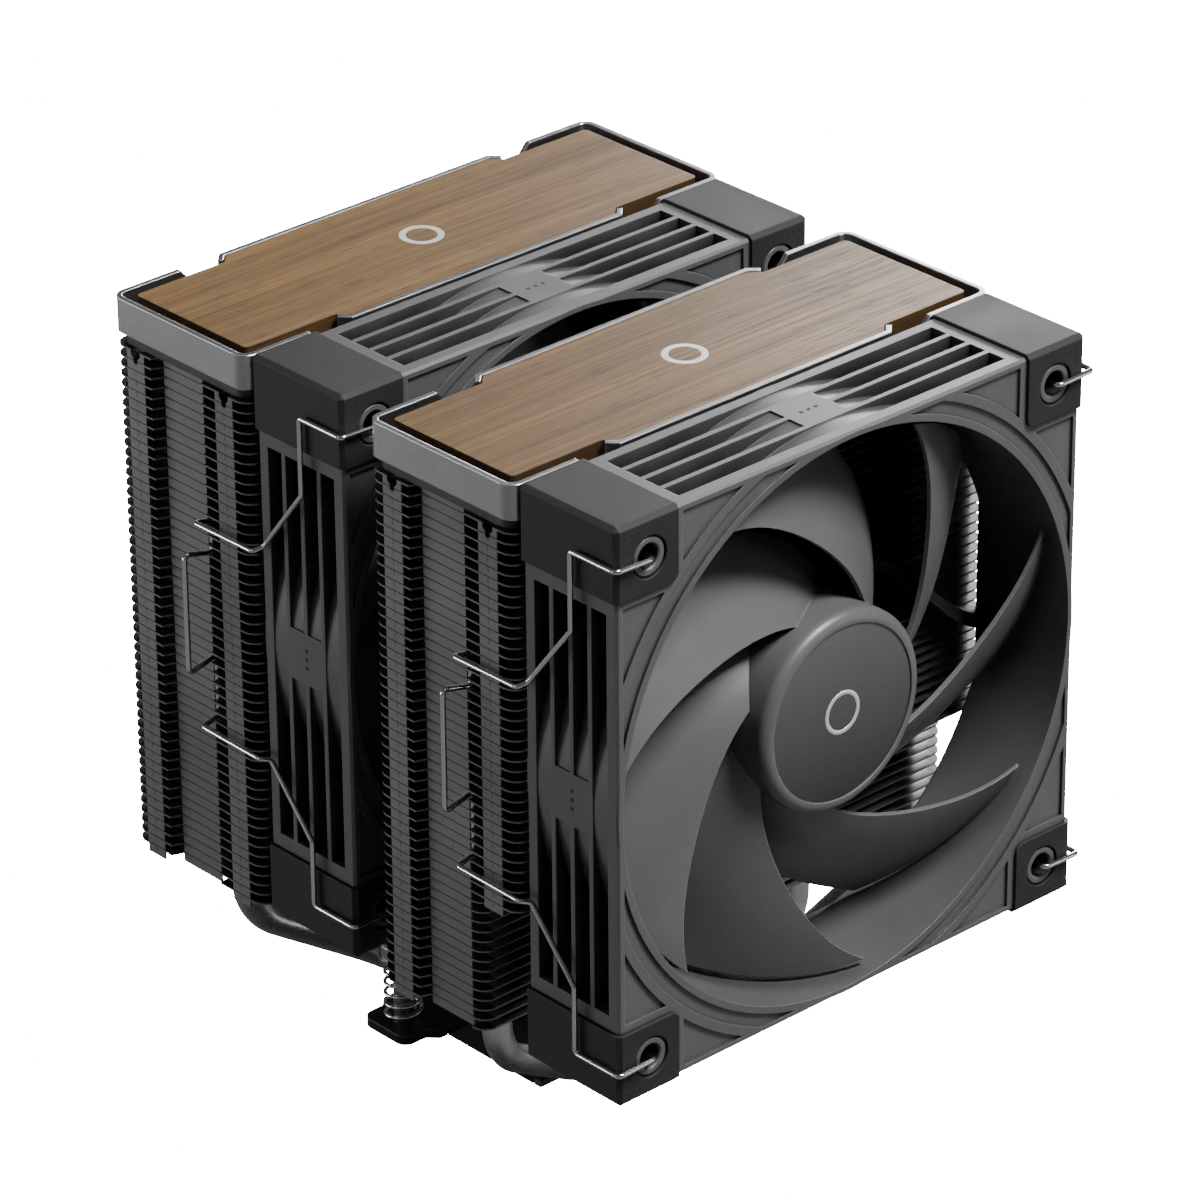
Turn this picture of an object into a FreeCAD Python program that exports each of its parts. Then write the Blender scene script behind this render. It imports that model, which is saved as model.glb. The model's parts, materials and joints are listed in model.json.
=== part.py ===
import FreeCAD, Part
import math
import os

import Sketcher
from FreeCAD import Placement, Rotation, Vector

# Twin-tower processor cooler with two fans, two topped covers and a screwed mounting bar.
# Frame: +Z up, origin at the centre of the cold plate's underside, fans face -Y. Millimetres.
# Each fan is drawn about its own centre: y = 0 is its front face and +y runs into the fan.

doc = FreeCAD.newDocument("tower_cooler")
sheet = doc.addObject("Spreadsheet::Sheet", "sizes")
nodes = []


# ---------------------------------------------------------------- sizes and bindings

class Size:
    """A length or angle that knows its value and the sheet expression behind it."""

    def __init__(self, value, text):
        self.value = float(value)
        self.text = text

    def join(self, other, sign, value):
        return Size(value, "({} {} {})".format(self.text, sign, as_size(other).text))

    def __add__(self, other):
        return self.join(other, "+", self.value + as_size(other).value)

    def __sub__(self, other):
        return self.join(other, "-", self.value - as_size(other).value)

    def __mul__(self, other):
        return self.join(other, "*", self.value * as_size(other).value)

    def __truediv__(self, other):
        return self.join(other, "/", self.value / as_size(other).value)

    def __neg__(self):
        return self * -1


def as_size(number):
    return number if isinstance(number, Size) else Size(number, repr(float(number)))


def cell(name, value):
    """Write one driving dimension into the sheet and give it back as a Size."""
    cell.row += 1
    sheet.set("A{}".format(cell.row), name)
    sheet.set("B{}".format(cell.row), str(value))
    sheet.setAlias("B{}".format(cell.row), name)
    return Size(value, "sizes.{}".format(name))


cell.row = 0

# fans
fan_side = cell("fan_side", 120.0)
fan_depth = cell("fan_depth", 25.0)
hole_inset = cell("hole_inset", 7.5)
hole_bore = cell("hole_bore", 5.0)
bore_edge = cell("bore_edge", 1.3)
bore_wall = cell("bore_wall", 1.1)
flange_thickness = cell("flange_thickness", 2.8)
rib_thickness = cell("rib_thickness", 1.1)
rim_width = cell("rim_width", 3.0)
frame_bevel = cell("frame_bevel", 0.5)
centre_block = cell("centre_block", 11.0)
pad_side = cell("pad_side", 15.4)
pad_proud = cell("pad_proud", 0.7)
pad_wall = cell("pad_wall", 2.0)
pad_window = cell("pad_window", 8.6)
pad_bevel = cell("pad_bevel", 0.9)
pad_corner = cell("pad_corner", 2.0)
boss_width = cell("boss_width", 8.0)
blade_count = 7
blade_gap = cell("blade_gap", 1.5)
hub_width = cell("hub_width", 41.6)
hub_setback = cell("hub_setback", 2.3)
hub_rear_gap = cell("hub_rear_gap", 1.1)
hub_wall = cell("hub_wall", 1.3)
hub_rim = cell("hub_rim", 2.6)
cap_thickness = cell("cap_thickness", 0.8)
shaft_width = cell("shaft_width", 3.0)
shaft_play = cell("shaft_play", 0.03)
motor_floor = cell("motor_floor", 1.6)
relief_depth = cell("relief_depth", 0.6)
relief_border = cell("relief_border", 1.5)
relief_band = cell("relief_band", 2.7)
relief_rib = cell("relief_rib", 2.0)
flare_depth = cell("flare_depth", 3.3)
flare_slope = cell("flare_slope", 1.2)
strut_width = cell("strut_width", 3.0)
strut_depth = cell("strut_depth", 4.0)
fit_gap = cell("fit_gap", 0.05)
loose_gap = cell("loose_gap", 0.1)

# towers
tower_width = cell("tower_width", 124.0)
fin_depth = cell("fin_depth", 40.0)
fin_thickness = cell("fin_thickness", 0.4)
fin_pitch = cell("fin_pitch", 2.15)
fin_floor = cell("fin_floor", 42.2)
stack_height = cell("stack_height", 110.05)
fin_corner = cell("fin_corner", 3.0)
fan_gap = cell("fan_gap", 0.9)
air_gap = cell("air_gap", 9.6)
strip_width = cell("strip_width", 5.2)
strip_inset = cell("strip_inset", 4.1)
wall_recess = cell("wall_recess", 2.5)
hook_notch = cell("hook_notch", 2.6)
hook_depth = cell("hook_depth", 3.7)
cut_back = cell("cut_back", 10.0)
cut_fin_count = 14

# base and heat pipes
pipe_diameter = cell("pipe_diameter", 6.0)
pipe_web = cell("pipe_web", 1.0)
pipe_level = cell("pipe_level", 8.0)
pipe_spread = cell("pipe_spread", 20.0)
pipe_reach = cell("pipe_reach", 11.5)
pipe_rise = cell("pipe_rise", 20.0)
pipe_stub = cell("pipe_stub", 3.0)
base_edge = cell("base_edge", 1.0)
base_width = cell("base_width", 37.5)
plate_thickness = cell("plate_thickness", 1.6)
plate_inset = cell("plate_inset", 0.2)
pipe_cover = cell("pipe_cover", 0.6)
saddle_wall = cell("saddle_wall", 1.0)
saddle_top = cell("saddle_top", 2.9)
saddle_setback = cell("saddle_setback", 2.3)
bar_thickness = cell("bar_thickness", 2.0)
bar_width = cell("bar_width", 17.2)
ear_width = cell("ear_width", 13.0)
ear_corner = cell("ear_corner", 2.5)
screw_spacing = cell("screw_spacing", 83.0)
ear_edge = cell("ear_edge", 5.5)
bar_screw_spacing = cell("bar_screw_spacing", 24.0)
bar_screw_width = cell("bar_screw_width", 3.0)

# spring screws
screw_width = cell("screw_width", 4.0)
screw_play = cell("screw_play", 0.3)
screw_drop = cell("screw_drop", 2.4)
head_width = cell("head_width", 8.6)
head_height = cell("head_height", 4.0)
spring_height = cell("spring_height", 14.0)
spring_wire = cell("spring_wire", 0.8)
spring_width = cell("spring_width", 8.0)
ring_thickness = cell("ring_thickness", 0.7)
ring_width = cell("ring_width", 7.0)
groove_depth = cell("groove_depth", 0.4)

# covers
cover_gap = cell("cover_gap", 0.1)
cover_neck = cell("cover_neck", 2.5)
cover_inset = cell("cover_inset", 1.2)
tray_height = cell("tray_height", 7.3)
tray_wall = cell("tray_wall", 1.1)
tray_proud = cell("tray_proud", 0.2)
tray_lip = cell("tray_lip", 2.6)
lip_thickness = cell("lip_thickness", 1.0)
tray_corner = cell("tray_corner", 3.0)
notch_place = cell("notch_place", 35.0)
notch_width = cell("notch_width", 6.5)
notch_depth = cell("notch_depth", 4.5)
notch_ramp = cell("notch_ramp", 4.0)
tab_run = cell("tab_run", 2.1)
wood_thickness = cell("wood_thickness", 3.4)
wood_sunk = cell("wood_sunk", 0.15)
wood_gap = cell("wood_gap", 2.4)
badge_width = cell("badge_width", 9.0)
badge_bore = cell("badge_bore", 6.4)
badge_thickness = cell("badge_thickness", 0.5)

# wire clips, heights measured from the fan's centre
clip_wire = cell("clip_wire", 1.1)
clip_bend = cell("clip_bend", 1.0)
clip_leg = cell("clip_leg", 2.4)
clip_front = cell("clip_front", 0.9)
clip_side = cell("clip_side", 1.0)
clip_setback = cell("clip_setback", 10.5)
clip_pass_gap = cell("clip_pass_gap", 1.8)
clip_pass_top = cell("clip_pass_top", 20.5)
clip_pass_bottom = cell("clip_pass_bottom", 24.2)
clip_slant_top = cell("clip_slant_top", 36.5)
clip_slant_bottom = cell("clip_slant_bottom", 38.5)
clip_grip_top = cell("clip_grip_top", 14.5)
clip_grip_bottom = cell("clip_grip_bottom", 11.5)
clip_grip_out = cell("clip_grip_out", 4.6)

# worked out from the cells above
hole_place = fan_side / 2 - hole_inset
bore_radius = fan_side / 2 - bore_edge
pad_outer = fan_side / 2 + pad_proud
pad_inner = pad_outer - pad_side
post_outer = pad_outer - pad_wall - fit_gap * 2
arm_end = pad_inner - loose_gap * 2
cap_width = hub_width - hub_rim * 2
hub_rear = fan_depth - strut_depth - hub_rear_gap
slot_width = (fan_depth - flange_thickness * 2 - rib_thickness * 3) / 4
tower_gap = air_gap + fan_depth + fan_gap
tower_offset = (tower_gap + fin_depth) / 2
stack_top = fin_floor + stack_height
base_length = pipe_diameter * 6 + pipe_web * 6 + base_edge * 2
pipe_pitch = pipe_diameter + pipe_web
pipe_block_top = pipe_level + pipe_diameter / 2 + pipe_cover
bar_floor = pipe_block_top + saddle_top
bar_top = bar_floor + bar_thickness
head_floor = bar_top + spring_height
cover_floor = stack_top + cover_gap
tray_floor = cover_floor + cover_neck
tray_top = tray_floor + tray_height
tray_half_x = tower_width / 2 + tray_proud
tray_half_y = fin_depth / 2 + loose_gap
wood_floor = tray_top - wood_sunk - wood_thickness
fan_centre = tray_top - fan_side / 2 - loose_gap
fan_places = {
    "front": -(tower_offset + fin_depth / 2 + fan_gap + fan_depth),
    "rear": tower_offset - fin_depth / 2 - fan_gap - fan_depth,
}
tower_places = {"front": -tower_offset, "rear": tower_offset}
sides = {"left": -1, "right": 1}


# ---------------------------------------------------------------- document helpers

def bind(thing, **sizes):
    """Bind properties, such as Length or Placement_Base_z, to sheet expressions."""
    for name, size in sizes.items():
        thing.setExpression(name.replace("_", "."), as_size(size).text)


def add(kind, name, **sizes):
    thing = doc.addObject(kind, name)
    bind(thing, **sizes)
    return thing


def keep(thing, label):
    """Name a finished sub-part and put it on the export list."""
    thing.Label = label
    nodes.append(thing)
    return thing


def place(thing, x=0, y=0, z=0):
    bind(thing, Placement_Base_x=x, Placement_Base_y=y, Placement_Base_z=z)
    return thing


def origin_part(body, role):
    return next(f for f in body.Origin.OriginFeatures if f.Role == role)


def sketch_on(body, plane, offset=None):
    """A sketch on one of the body's origin planes, lifted along the plane's normal."""
    sk = body.newObject("Sketcher::SketchObject", body.Name + "_sketch")
    sk.AttachmentSupport = [(origin_part(body, plane), "")]
    sk.MapMode = "FlatFace"
    if offset is not None:
        sk.setExpression("AttachmentOffset.Base.z", as_size(offset).text)
    return sk


def pin_point(sk, geometry, point, x, y):
    """Fix one point of a sketch at x, y, each bound to the sheet."""
    for kind, size, axis in (("DistanceX", as_size(x), -2), ("DistanceY", as_size(y), -1)):
        if size.value == 0:
            sk.addConstraint(Sketcher.Constraint("PointOnObject", geometry, point, axis))
        else:
            index = sk.addConstraint(Sketcher.Constraint(kind, -1, 1, geometry, point, size.value))
            sk.setExpression("Constraints[{}]".format(index), size.text)


def outline(sk, points):
    """A closed outline of straight lines through points given as (x, y) sizes."""
    spots = [Vector(as_size(x).value, as_size(y).value, 0) for x, y in points]
    lines = []
    for i, start in enumerate(spots):
        lines.append(sk.addGeometry(Part.LineSegment(start, spots[(i + 1) % len(spots)]), False))
    for i, line in enumerate(lines):
        sk.addConstraint(Sketcher.Constraint("Coincident", line, 2, lines[(i + 1) % len(lines)], 1))
    for line, (x, y) in zip(lines, points):
        pin_point(sk, line, 1, x, y)


def rectangle(sk, x0, x1, y0, y1):
    outline(sk, [(x0, y0), (x1, y0), (x1, y1), (x0, y1)])


def circle(sk, diameter, x=0, y=0):
    size = as_size(diameter)
    centre = Vector(as_size(x).value, as_size(y).value, 0)
    index = sk.addGeometry(Part.Circle(centre, Vector(0, 0, 1), size.value / 2), False)
    pin_point(sk, index, 3, x, y)
    constraint = sk.addConstraint(Sketcher.Constraint("Diameter", index, size.value))
    sk.setExpression("Constraints[{}]".format(constraint), size.text)


def pad(body, sk, length, backwards=False):
    feature = body.newObject("PartDesign::Pad", body.Name + "_pad")
    feature.Profile = sk
    feature.Reversed = backwards
    bind(feature, Length=length)
    doc.recompute()
    return feature


def pocket(body, sk, length=None, backwards=False):
    """Cut the sketch to a length, or through everything both ways; it must remove material."""
    before = body.Shape.Volume
    feature = body.newObject("PartDesign::Pocket", body.Name + "_pocket")
    feature.Profile = sk
    feature.Reversed = backwards
    if length is None:
        feature.Type = 1
        feature.Midplane = True
    else:
        bind(feature, Length=length)
    doc.recompute()
    if not body.Shape.Volume < before - 1e-6:
        raise RuntimeError("{} removed nothing from {}".format(feature.Name, body.Label))
    return feature


def revolve(body, sk, axis):
    feature = body.newObject("PartDesign::Revolution", body.Name + "_turn")
    feature.Profile = sk
    feature.ReferenceAxis = (origin_part(body, axis), [""])
    feature.Angle = 360
    doc.recompute()
    return feature


def soften(body, kind, size, wanted):
    """Fillet or chamfer the edges of the body's tip that wanted(edge) picks."""
    base = body.Tip
    edges = ["Edge{}".format(i + 1) for i, edge in enumerate(base.Shape.Edges) if wanted(edge)]
    feature = body.newObject("PartDesign::" + kind, "{}_{}".format(body.Name, kind.lower()))
    feature.Base = (base, edges)
    bind(feature, **{"Radius" if kind == "Fillet" else "Size": size})
    doc.recompute()
    return feature


def runs_along(edge, axis):
    """True for a straight edge parallel to the axis 0, 1 or 2."""
    if not isinstance(edge.Curve, Part.Line):
        return False
    direction = edge.Curve.Direction
    return abs(abs(direction[axis]) - 1) < 1e-6


def corner_edges(axis, reach_a, reach_b):
    """Picks straight edges along an axis that stand at the two given reaches from the centre."""
    others = [i for i in range(3) if i != axis]

    def wanted(edge):
        spot = edge.CenterOfMass
        return (runs_along(edge, axis)
                and abs(abs(spot[others[0]]) - reach_a.value) < 1e-4
                and abs(abs(spot[others[1]]) - reach_b.value) < 1e-4)
    return wanted


def turned_body(name, axis, profile):
    """A body turned about the Y axis (profile r, y) or the Z axis (profile r, z)."""
    body = doc.addObject("PartDesign::Body", name)
    sk = sketch_on(body, "XY_Plane" if axis == "Y_Axis" else "XZ_Plane")
    outline(sk, profile)
    revolve(body, sk, axis)
    return body


def flat_body(name, plane, points, length, offset=None, backwards=False):
    """A body padded from one straight-sided outline on an origin plane."""
    body = doc.addObject("PartDesign::Body", name)
    sk = sketch_on(body, plane, offset)
    outline(sk, points)
    pad(body, sk, length, backwards)
    return body


def mirrored_outline(quarter):
    """The whole outline of a shape symmetric about both axes, from its +x +y quarter."""
    upper = quarter + [(-x, y) for x, y in reversed(quarter)]
    return upper + [(x, -y) for x, y in reversed(upper)]


def rod(points, radius, bend):
    """A round rod along straight runs joined by tangent arcs; the ends are cut square."""
    edges = []
    start = points[0]
    for before, corner, after in zip(points, points[1:], points[2:]):
        back = (before - corner).normalize()
        ahead = (after - corner).normalize()
        half_turn = (math.pi - back.getAngle(ahead)) / 2
        set_off = bend * math.tan(half_turn)
        middle = (back + ahead).normalize()
        centre = corner + middle * (bend / math.cos(half_turn))
        arc_start = corner + back * set_off
        arc_end = corner + ahead * set_off
        edges.append(Part.LineSegment(start, arc_start).toShape())
        edges.append(Part.Arc(arc_start, centre - middle * bend, arc_end).toShape())
        start = arc_end
    edges.append(Part.LineSegment(start, points[-1]).toShape())
    path = Part.Wire(edges)
    first = (points[1] - points[0]).normalize()
    section = Part.Wire(Part.Circle(points[0], first, radius).toShape())
    return path.makePipeShell([section], True, False)


def box(x0, x1, y0, y1, z0, z1):
    return Part.makeBox(x1 - x0, y1 - y0, z1 - z0, Vector(x0, y0, z0))


# ---------------------------------------------------------------- base

def base_outline(inset):
    """Outline of the base with a rebate on each side for the saddle's cheeks."""
    half_x = base_length / 2 - inset
    rebate_x = base_length / 2 - saddle_wall - loose_gap
    rebate_y = base_width / 2 - saddle_setback + loose_gap
    half_y = base_width / 2 - inset
    return mirrored_outline([(rebate_x, rebate_y), (half_x, rebate_y), (half_x, half_y)])


def build_base():
    plate = flat_body("cold_plate_body", "XY_Plane", base_outline(plate_inset), plate_thickness)
    keep(plate, "cold_plate")

    block = flat_body("pipe_block_body", "XY_Plane", base_outline(as_size(0)),
                      pipe_block_top - plate_thickness, offset=plate_thickness)
    bores = sketch_on(block, "XZ_Plane")
    for place_x in pipe_rows(pipe_pitch):
        circle(bores, pipe_diameter + fit_gap * 2, place_x, pipe_level)
    pocket(block, bores)
    keep(block, "pipe_block")

    saddle = doc.addObject("PartDesign::Body", "block_cover_body")
    section = sketch_on(saddle, "XZ_Plane", base_width / 2 - saddle_setback)
    outer = base_length / 2
    inner = outer - saddle_wall
    under = pipe_block_top + fit_gap
    outline(section, [(-outer, plate_inset), (-inner, plate_inset), (-inner, under), (inner, under),
                      (inner, plate_inset), (outer, plate_inset), (outer, bar_floor),
                      (-outer, bar_floor)])
    pad(saddle, section, base_width - saddle_setback * 2, backwards=True)
    screw_holes = sketch_on(saddle, "XY_Plane")
    for side in (-1, 1):
        circle(screw_holes, bar_screw_width + loose_gap * 2, bar_screw_spacing * side / 2, 0)
    pocket(saddle, screw_holes)
    keep(saddle, "block_cover")

    bar_end = screw_spacing / 2 + ear_edge
    shoulder = (bar_width - ear_width) / 2
    neck = screw_spacing / 2 - shoulder
    bar = flat_body("mounting_bar_body", "XY_Plane", mirrored_outline([
        (bar_end, ear_width / 2), (neck + shoulder, ear_width / 2), (neck, bar_width / 2)]),
        bar_thickness, offset=bar_floor)
    holes = sketch_on(bar, "XY_Plane")
    for side in (-1, 1):
        circle(holes, screw_width + screw_play * 2, screw_spacing * side / 2, 0)
        circle(holes, bar_screw_width + loose_gap * 2, bar_screw_spacing * side / 2, 0)
    pocket(bar, holes)
    soften(bar, "Fillet", ear_corner, corner_edges(2, bar_end, ear_width / 2))
    keep(bar, "mounting_bar")

    screws = []
    shank = bar_screw_width / 2
    for name, side in sides.items():
        screw = turned_body("bar_screw_" + name, "Z_Axis", [
            (0, pipe_block_top), (shank, pipe_block_top), (shank, bar_top),
            (shank + 1.2, bar_top), (shank + 1.2, bar_top + 1.2), (shank + 0.7, bar_top + 1.7),
            (0, bar_top + 1.7)])
        recess = sketch_on(screw, "XY_Plane", bar_top + 0.7)
        rectangle(recess, as_size(-1.2), as_size(1.2), as_size(-0.25), as_size(0.25))
        pocket(screw, recess, as_size(2), backwards=True)
        screws.append(place(screw, x=bar_screw_spacing * side / 2))
    group = doc.addObject("Part::Compound", "bar_screw_pair")
    group.Links = screws
    keep(group, "bar_screws")


def pipe_rows(pitch):
    """Six places in a row, a pitch apart, from -X to +X."""
    return [pitch * (i - 2.5) for i in range(6)]


def build_heat_pipes():
    """Each pipe runs through the base and turns up into both towers, fanning out sideways."""
    level = pipe_level.value
    out = base_width.value / 2 + pipe_reach.value
    top = stack_top.value + pipe_stub.value
    for i, (low, high) in enumerate(zip(pipe_rows(pipe_pitch), pipe_rows(pipe_spread))):
        half = [Vector(low.value, out, level),
                Vector(high.value, tower_offset.value, level + pipe_rise.value),
                Vector(high.value, tower_offset.value, top)]
        other = [Vector(p.x, -p.y, p.z) for p in reversed(half)]
        shortest = (half[1] - half[0]).Length
        bend = min(pipe_diameter.value * 2.2, shortest * 0.62)
        pipe = doc.addObject("Part::Feature", "heat_pipe_{}_shape".format(i + 1))
        pipe.Shape = rod(other + half, pipe_diameter.value / 2, bend)
        keep(pipe, "heat_pipe_{}".format(i + 1))


# ---------------------------------------------------------------- fin stacks

def fin_outline(front_back):
    """Outline of one fin, seen from above, with its fan side at -y set back by front_back."""
    half_x = tower_width.value / 2
    half_y = fin_depth.value / 2
    radius = fin_corner.value
    wall_x = half_x - wall_recess.value
    hook_x = half_x - hook_depth.value
    tip_y = -half_y + strip_inset.value + strip_width.value + strip_inset.value
    hook_y = tip_y + hook_notch.value
    back_y = half_y - strip_inset.value - strip_width.value - strip_inset.value / 2
    front = -half_y + front_back
    side = [(half_x, tip_y), (hook_x, tip_y + 0.2), (hook_x, hook_y), (wall_x, hook_y),
            (wall_x, back_y - 0.9), (half_x, back_y)]
    edges = []

    def line(a, b):
        edges.append(Part.LineSegment(Vector(a[0], a[1], 0), Vector(b[0], b[1], 0)).toShape())

    def corner(x, y, to_x, to_y, x_sign, y_sign):
        centre = Vector(x_sign * (half_x - radius), y_sign * radius + y, 0)
        middle = centre + Vector(x_sign, -y_sign, 0).normalize() * radius
        edges.append(Part.Arc(Vector(x, y, 0) if to_x is None else Vector(*to_x, 0), middle,
                              Vector(*to_y, 0)).toShape())

    for sign in (1, -1):
        points = [(sign * x, y) for x, y in side]
        corner(0, front, (sign * (half_x - radius), front), (sign * half_x, front + radius), sign, 1)
        line((sign * half_x, front + radius), points[0])
        for a, b in zip(points, points[1:]):
            line(a, b)
        line(points[-1], (sign * half_x, half_y - radius))
        corner(0, half_y, (sign * half_x, half_y - radius), (sign * (half_x - radius), half_y), sign, -1)
    line((-half_x + radius, front), (half_x - radius, front))
    line((-half_x + radius, half_y), (half_x - radius, half_y))
    return Part.Wire(Part.__sortEdges__(edges))


def fin_gaps():
    """How many steps the stack holds, at about the wanted pitch."""
    return int(round((stack_height.value - fin_thickness.value) / fin_pitch.value))


def fin_step():
    """The distance from one fin to the next, so that the last fin ends at the stack's top."""
    return (stack_height.value - fin_thickness.value) / fin_gaps()


def fin_shape(front_back):
    """One fin at z = 0: a plate with pipe holes and folded flanges that reach the fin below."""
    thick = fin_thickness.value
    half_x = tower_width.value / 2
    half_y = fin_depth.value / 2
    drop = fin_step() - thick - fit_gap.value
    wall_x = half_x - wall_recess.value
    strip = strip_width.value
    first = -half_y + strip_inset.value
    last = half_y - strip_inset.value - strip
    wall_from = first + strip + strip_inset.value + hook_notch.value
    wall_to = last - strip_inset.value / 2 - 0.9
    plate = Part.Face(fin_outline(front_back)).extrude(Vector(0, 0, thick))
    flanges = []
    for sign in (-1, 1):
        runs = [(half_x, last, last + strip), (wall_x, wall_from, wall_to)]
        if front_back == 0:
            runs.append((half_x, first, first + strip))
        for x, y0, y1 in runs:
            lo, hi = sorted((sign * x, sign * (x - thick)))
            flanges.append(box(lo, hi, y0, y1, -drop, thick))
    fin = plate.multiFuse(flanges).removeSplitter()
    holes = []
    for place_x in pipe_rows(pipe_spread):
        radius = pipe_diameter.value / 2 + loose_gap.value
        holes.append(Part.makeCylinder(radius, 2 * thick, Vector(place_x.value, 0, -thick / 2)))
    return fin.cut(Part.makeCompound(holes))


def lock_notch(x, y):
    """The Y-shaped cut at the head of a flange strip, centred on y, as a tool along X."""
    wide = strip_width.value * 0.27
    slim = wide * 0.45
    deep = fin_step() * 1.1
    points = [(-wide, 1), (-wide, -deep * 0.25), (-slim, -deep * 0.6), (-slim, -deep),
              (slim, -deep), (slim, -deep * 0.6), (wide, -deep * 0.25), (wide, 1)]
    ring = [Vector(x - 1.5, y + a, b) for a, b in points]
    return Part.Face(Part.makePolygon(ring + ring[:1])).extrude(Vector(3, 0, 0))


def build_fin_stack(name, cut_fins):
    """One tower's fins as separate solids; the lowest cut_fins are set back from the fan."""
    count = fin_gaps()
    whole = fin_shape(0)
    short = fin_shape(cut_back.value)
    half_x = tower_width.value / 2
    strip_y = fin_depth.value / 2 - strip_inset.value - strip_width.value / 2
    top_cuts = [lock_notch(sx * half_x, sy * strip_y) for sx in (-1, 1) for sy in (-1, 1)]
    fins = []
    for i in range(count + 1):
        fin = (short if i < cut_fins else whole).copy()
        level = i * fin_step()
        if i >= count - 1:
            below_top = (i - count) * fin_step()
            tools = Part.makeCompound([c.translated(Vector(0, 0, -below_top)) for c in top_cuts])
            fin = fin.cut(tools)
        fins.append(fin.translated(Vector(0, 0, level)))
    stack = doc.addObject("Part::Feature", name + "_fins")
    stack.Shape = Part.makeCompound(fins)
    place(stack, y=tower_places[name], z=fin_floor)
    keep(stack, name + "_fin_stack")


# ---------------------------------------------------------------- covers

def build_cover(name):
    """The cover on one tower: a moulded base, a metal tray, a topping panel and an inlay ring."""
    at_y = tower_places[name]
    lip_x = tray_half_x - tray_wall - tray_lip - loose_gap
    lip_y = tray_half_y - tray_wall - tray_lip - loose_gap
    skirt_x = tray_half_x - cover_inset
    skirt_y = tray_half_y - cover_inset

    base = doc.addObject("PartDesign::Body", name + "_cover_base_body")
    skirt = sketch_on(base, "XY_Plane", cover_floor)
    rectangle(skirt, -skirt_x, skirt_x, -skirt_y, skirt_y)
    pad(base, skirt, cover_neck - fit_gap)
    soften(base, "Fillet", tray_corner, corner_edges(2, skirt_x, skirt_y))
    bed = sketch_on(base, "XY_Plane", cover_floor)
    rectangle(bed, -lip_x, lip_x, -lip_y, lip_y)
    pad(base, bed, wood_floor - cover_floor - fit_gap)
    hollow = sketch_on(base, "XY_Plane", cover_floor)
    wall = tray_wall * 1.8
    rectangle(hollow, -lip_x + wall, lip_x - wall, -lip_y + wall, lip_y - wall)
    pocket(base, hollow, pipe_stub + 0.6, backwards=True)
    keep(place(base, y=at_y), name + "_cover_base")

    tray = doc.addObject("PartDesign::Body", name + "_cover_tray_body")
    outer = sketch_on(tray, "XY_Plane", tray_floor)
    rectangle(outer, -tray_half_x, tray_half_x, -tray_half_y, tray_half_y)
    pad(tray, outer, tray_height)
    soften(tray, "Fillet", tray_corner, corner_edges(2, tray_half_x, tray_half_y))
    inside = sketch_on(tray, "XY_Plane", tray_top)
    in_x = tray_half_x - tray_wall
    in_y = tray_half_y - tray_wall
    rectangle(inside, -in_x, in_x, -in_y, in_y)
    pocket(tray, inside, tray_height - lip_thickness)
    soften(tray, "Fillet", tray_corner - tray_wall, corner_edges(2, in_x, in_y))
    opening = sketch_on(tray, "XY_Plane", tray_top)
    open_x = in_x - tray_lip
    open_y = in_y - tray_lip
    rectangle(opening, -open_x, open_x, -open_y, open_y)
    pocket(tray, opening)
    notches = sketch_on(tray, "XZ_Plane")
    notch_floor = tray_top - notch_depth
    above = tray_top + 1
    for side in (-1, 1):
        near = notch_place * side
        far = (notch_place + notch_width) * side
        ramp = (notch_place + notch_width + notch_ramp) * side
        outline(notches, [(near, above), (near, notch_floor), (far, notch_floor), (ramp, tray_top),
                          (ramp, above)])
    pocket(tray, notches)
    tabs = sketch_on(tray, "XY_Plane", tray_floor + lip_thickness)
    for side_x in (-1, 1):
        for side_y in (-1, 1):
            near = notch_place * side_x
            edge = tray_half_y * side_y
            slim = tray_wall * 0.7
            outline(tabs, [
                (near, edge), (near + tab_run * side_x, edge - tab_run * side_y),
                (near + (tab_run - slim) * side_x, edge - (tab_run + slim) * side_y),
                (near - tray_wall * 0.4 * side_x, edge - tray_wall * side_y)])
    pad(tray, tabs, tray_height - lip_thickness)
    keep(place(tray, y=at_y), name + "_cover_tray")

    end_x = in_x - wood_gap
    end_y = in_y - wood_gap
    mid_y = in_y - loose_gap * 1.5
    bulge = notch_place - tray_wall * 0.4 - loose_gap * 3
    panel = flat_body(name + "_wood_panel_body", "XY_Plane", mirrored_outline([
        (end_x, end_y), (bulge + (wood_gap - loose_gap * 1.5), end_y), (bulge, mid_y)]),
        wood_thickness, offset=wood_floor)
    soften(panel, "Fillet", tray_corner * 0.35, corner_edges(2, end_x, end_y))
    groove = sketch_on(panel, "XY_Plane", tray_top - wood_sunk)
    circle(groove, badge_width + fit_gap * 2)
    circle(groove, badge_bore - fit_gap * 2)
    pocket(panel, groove, badge_thickness)
    keep(place(panel, y=at_y), name + "_wood_panel")

    ring_floor = tray_top - wood_sunk - badge_thickness
    badge = doc.addObject("PartDesign::Body", name + "_badge_body")
    ring = sketch_on(badge, "XY_Plane", ring_floor)
    circle(ring, badge_width)
    circle(ring, badge_bore)
    pad(badge, ring, badge_thickness)
    keep(place(badge, y=at_y), name + "_panel_badge")


# ---------------------------------------------------------------- fans

def post_corner():
    """Quarter outline of the fan frame: two arm ends and the corner post between them."""
    half = fan_side / 2
    return [(half, arm_end), (post_outer, arm_end), (post_outer, post_outer), (arm_end, post_outer),
            (arm_end, half)]


def ring_pad(body, outer, inner, start, length):
    """Add a ring about the fan's axis from y = start, given its diameters."""
    sk = sketch_on(body, "XZ_Plane", -start)
    circle(sk, outer)
    if inner is not None:
        circle(sk, inner)
    pad(body, sk, length, backwards=True)


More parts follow.
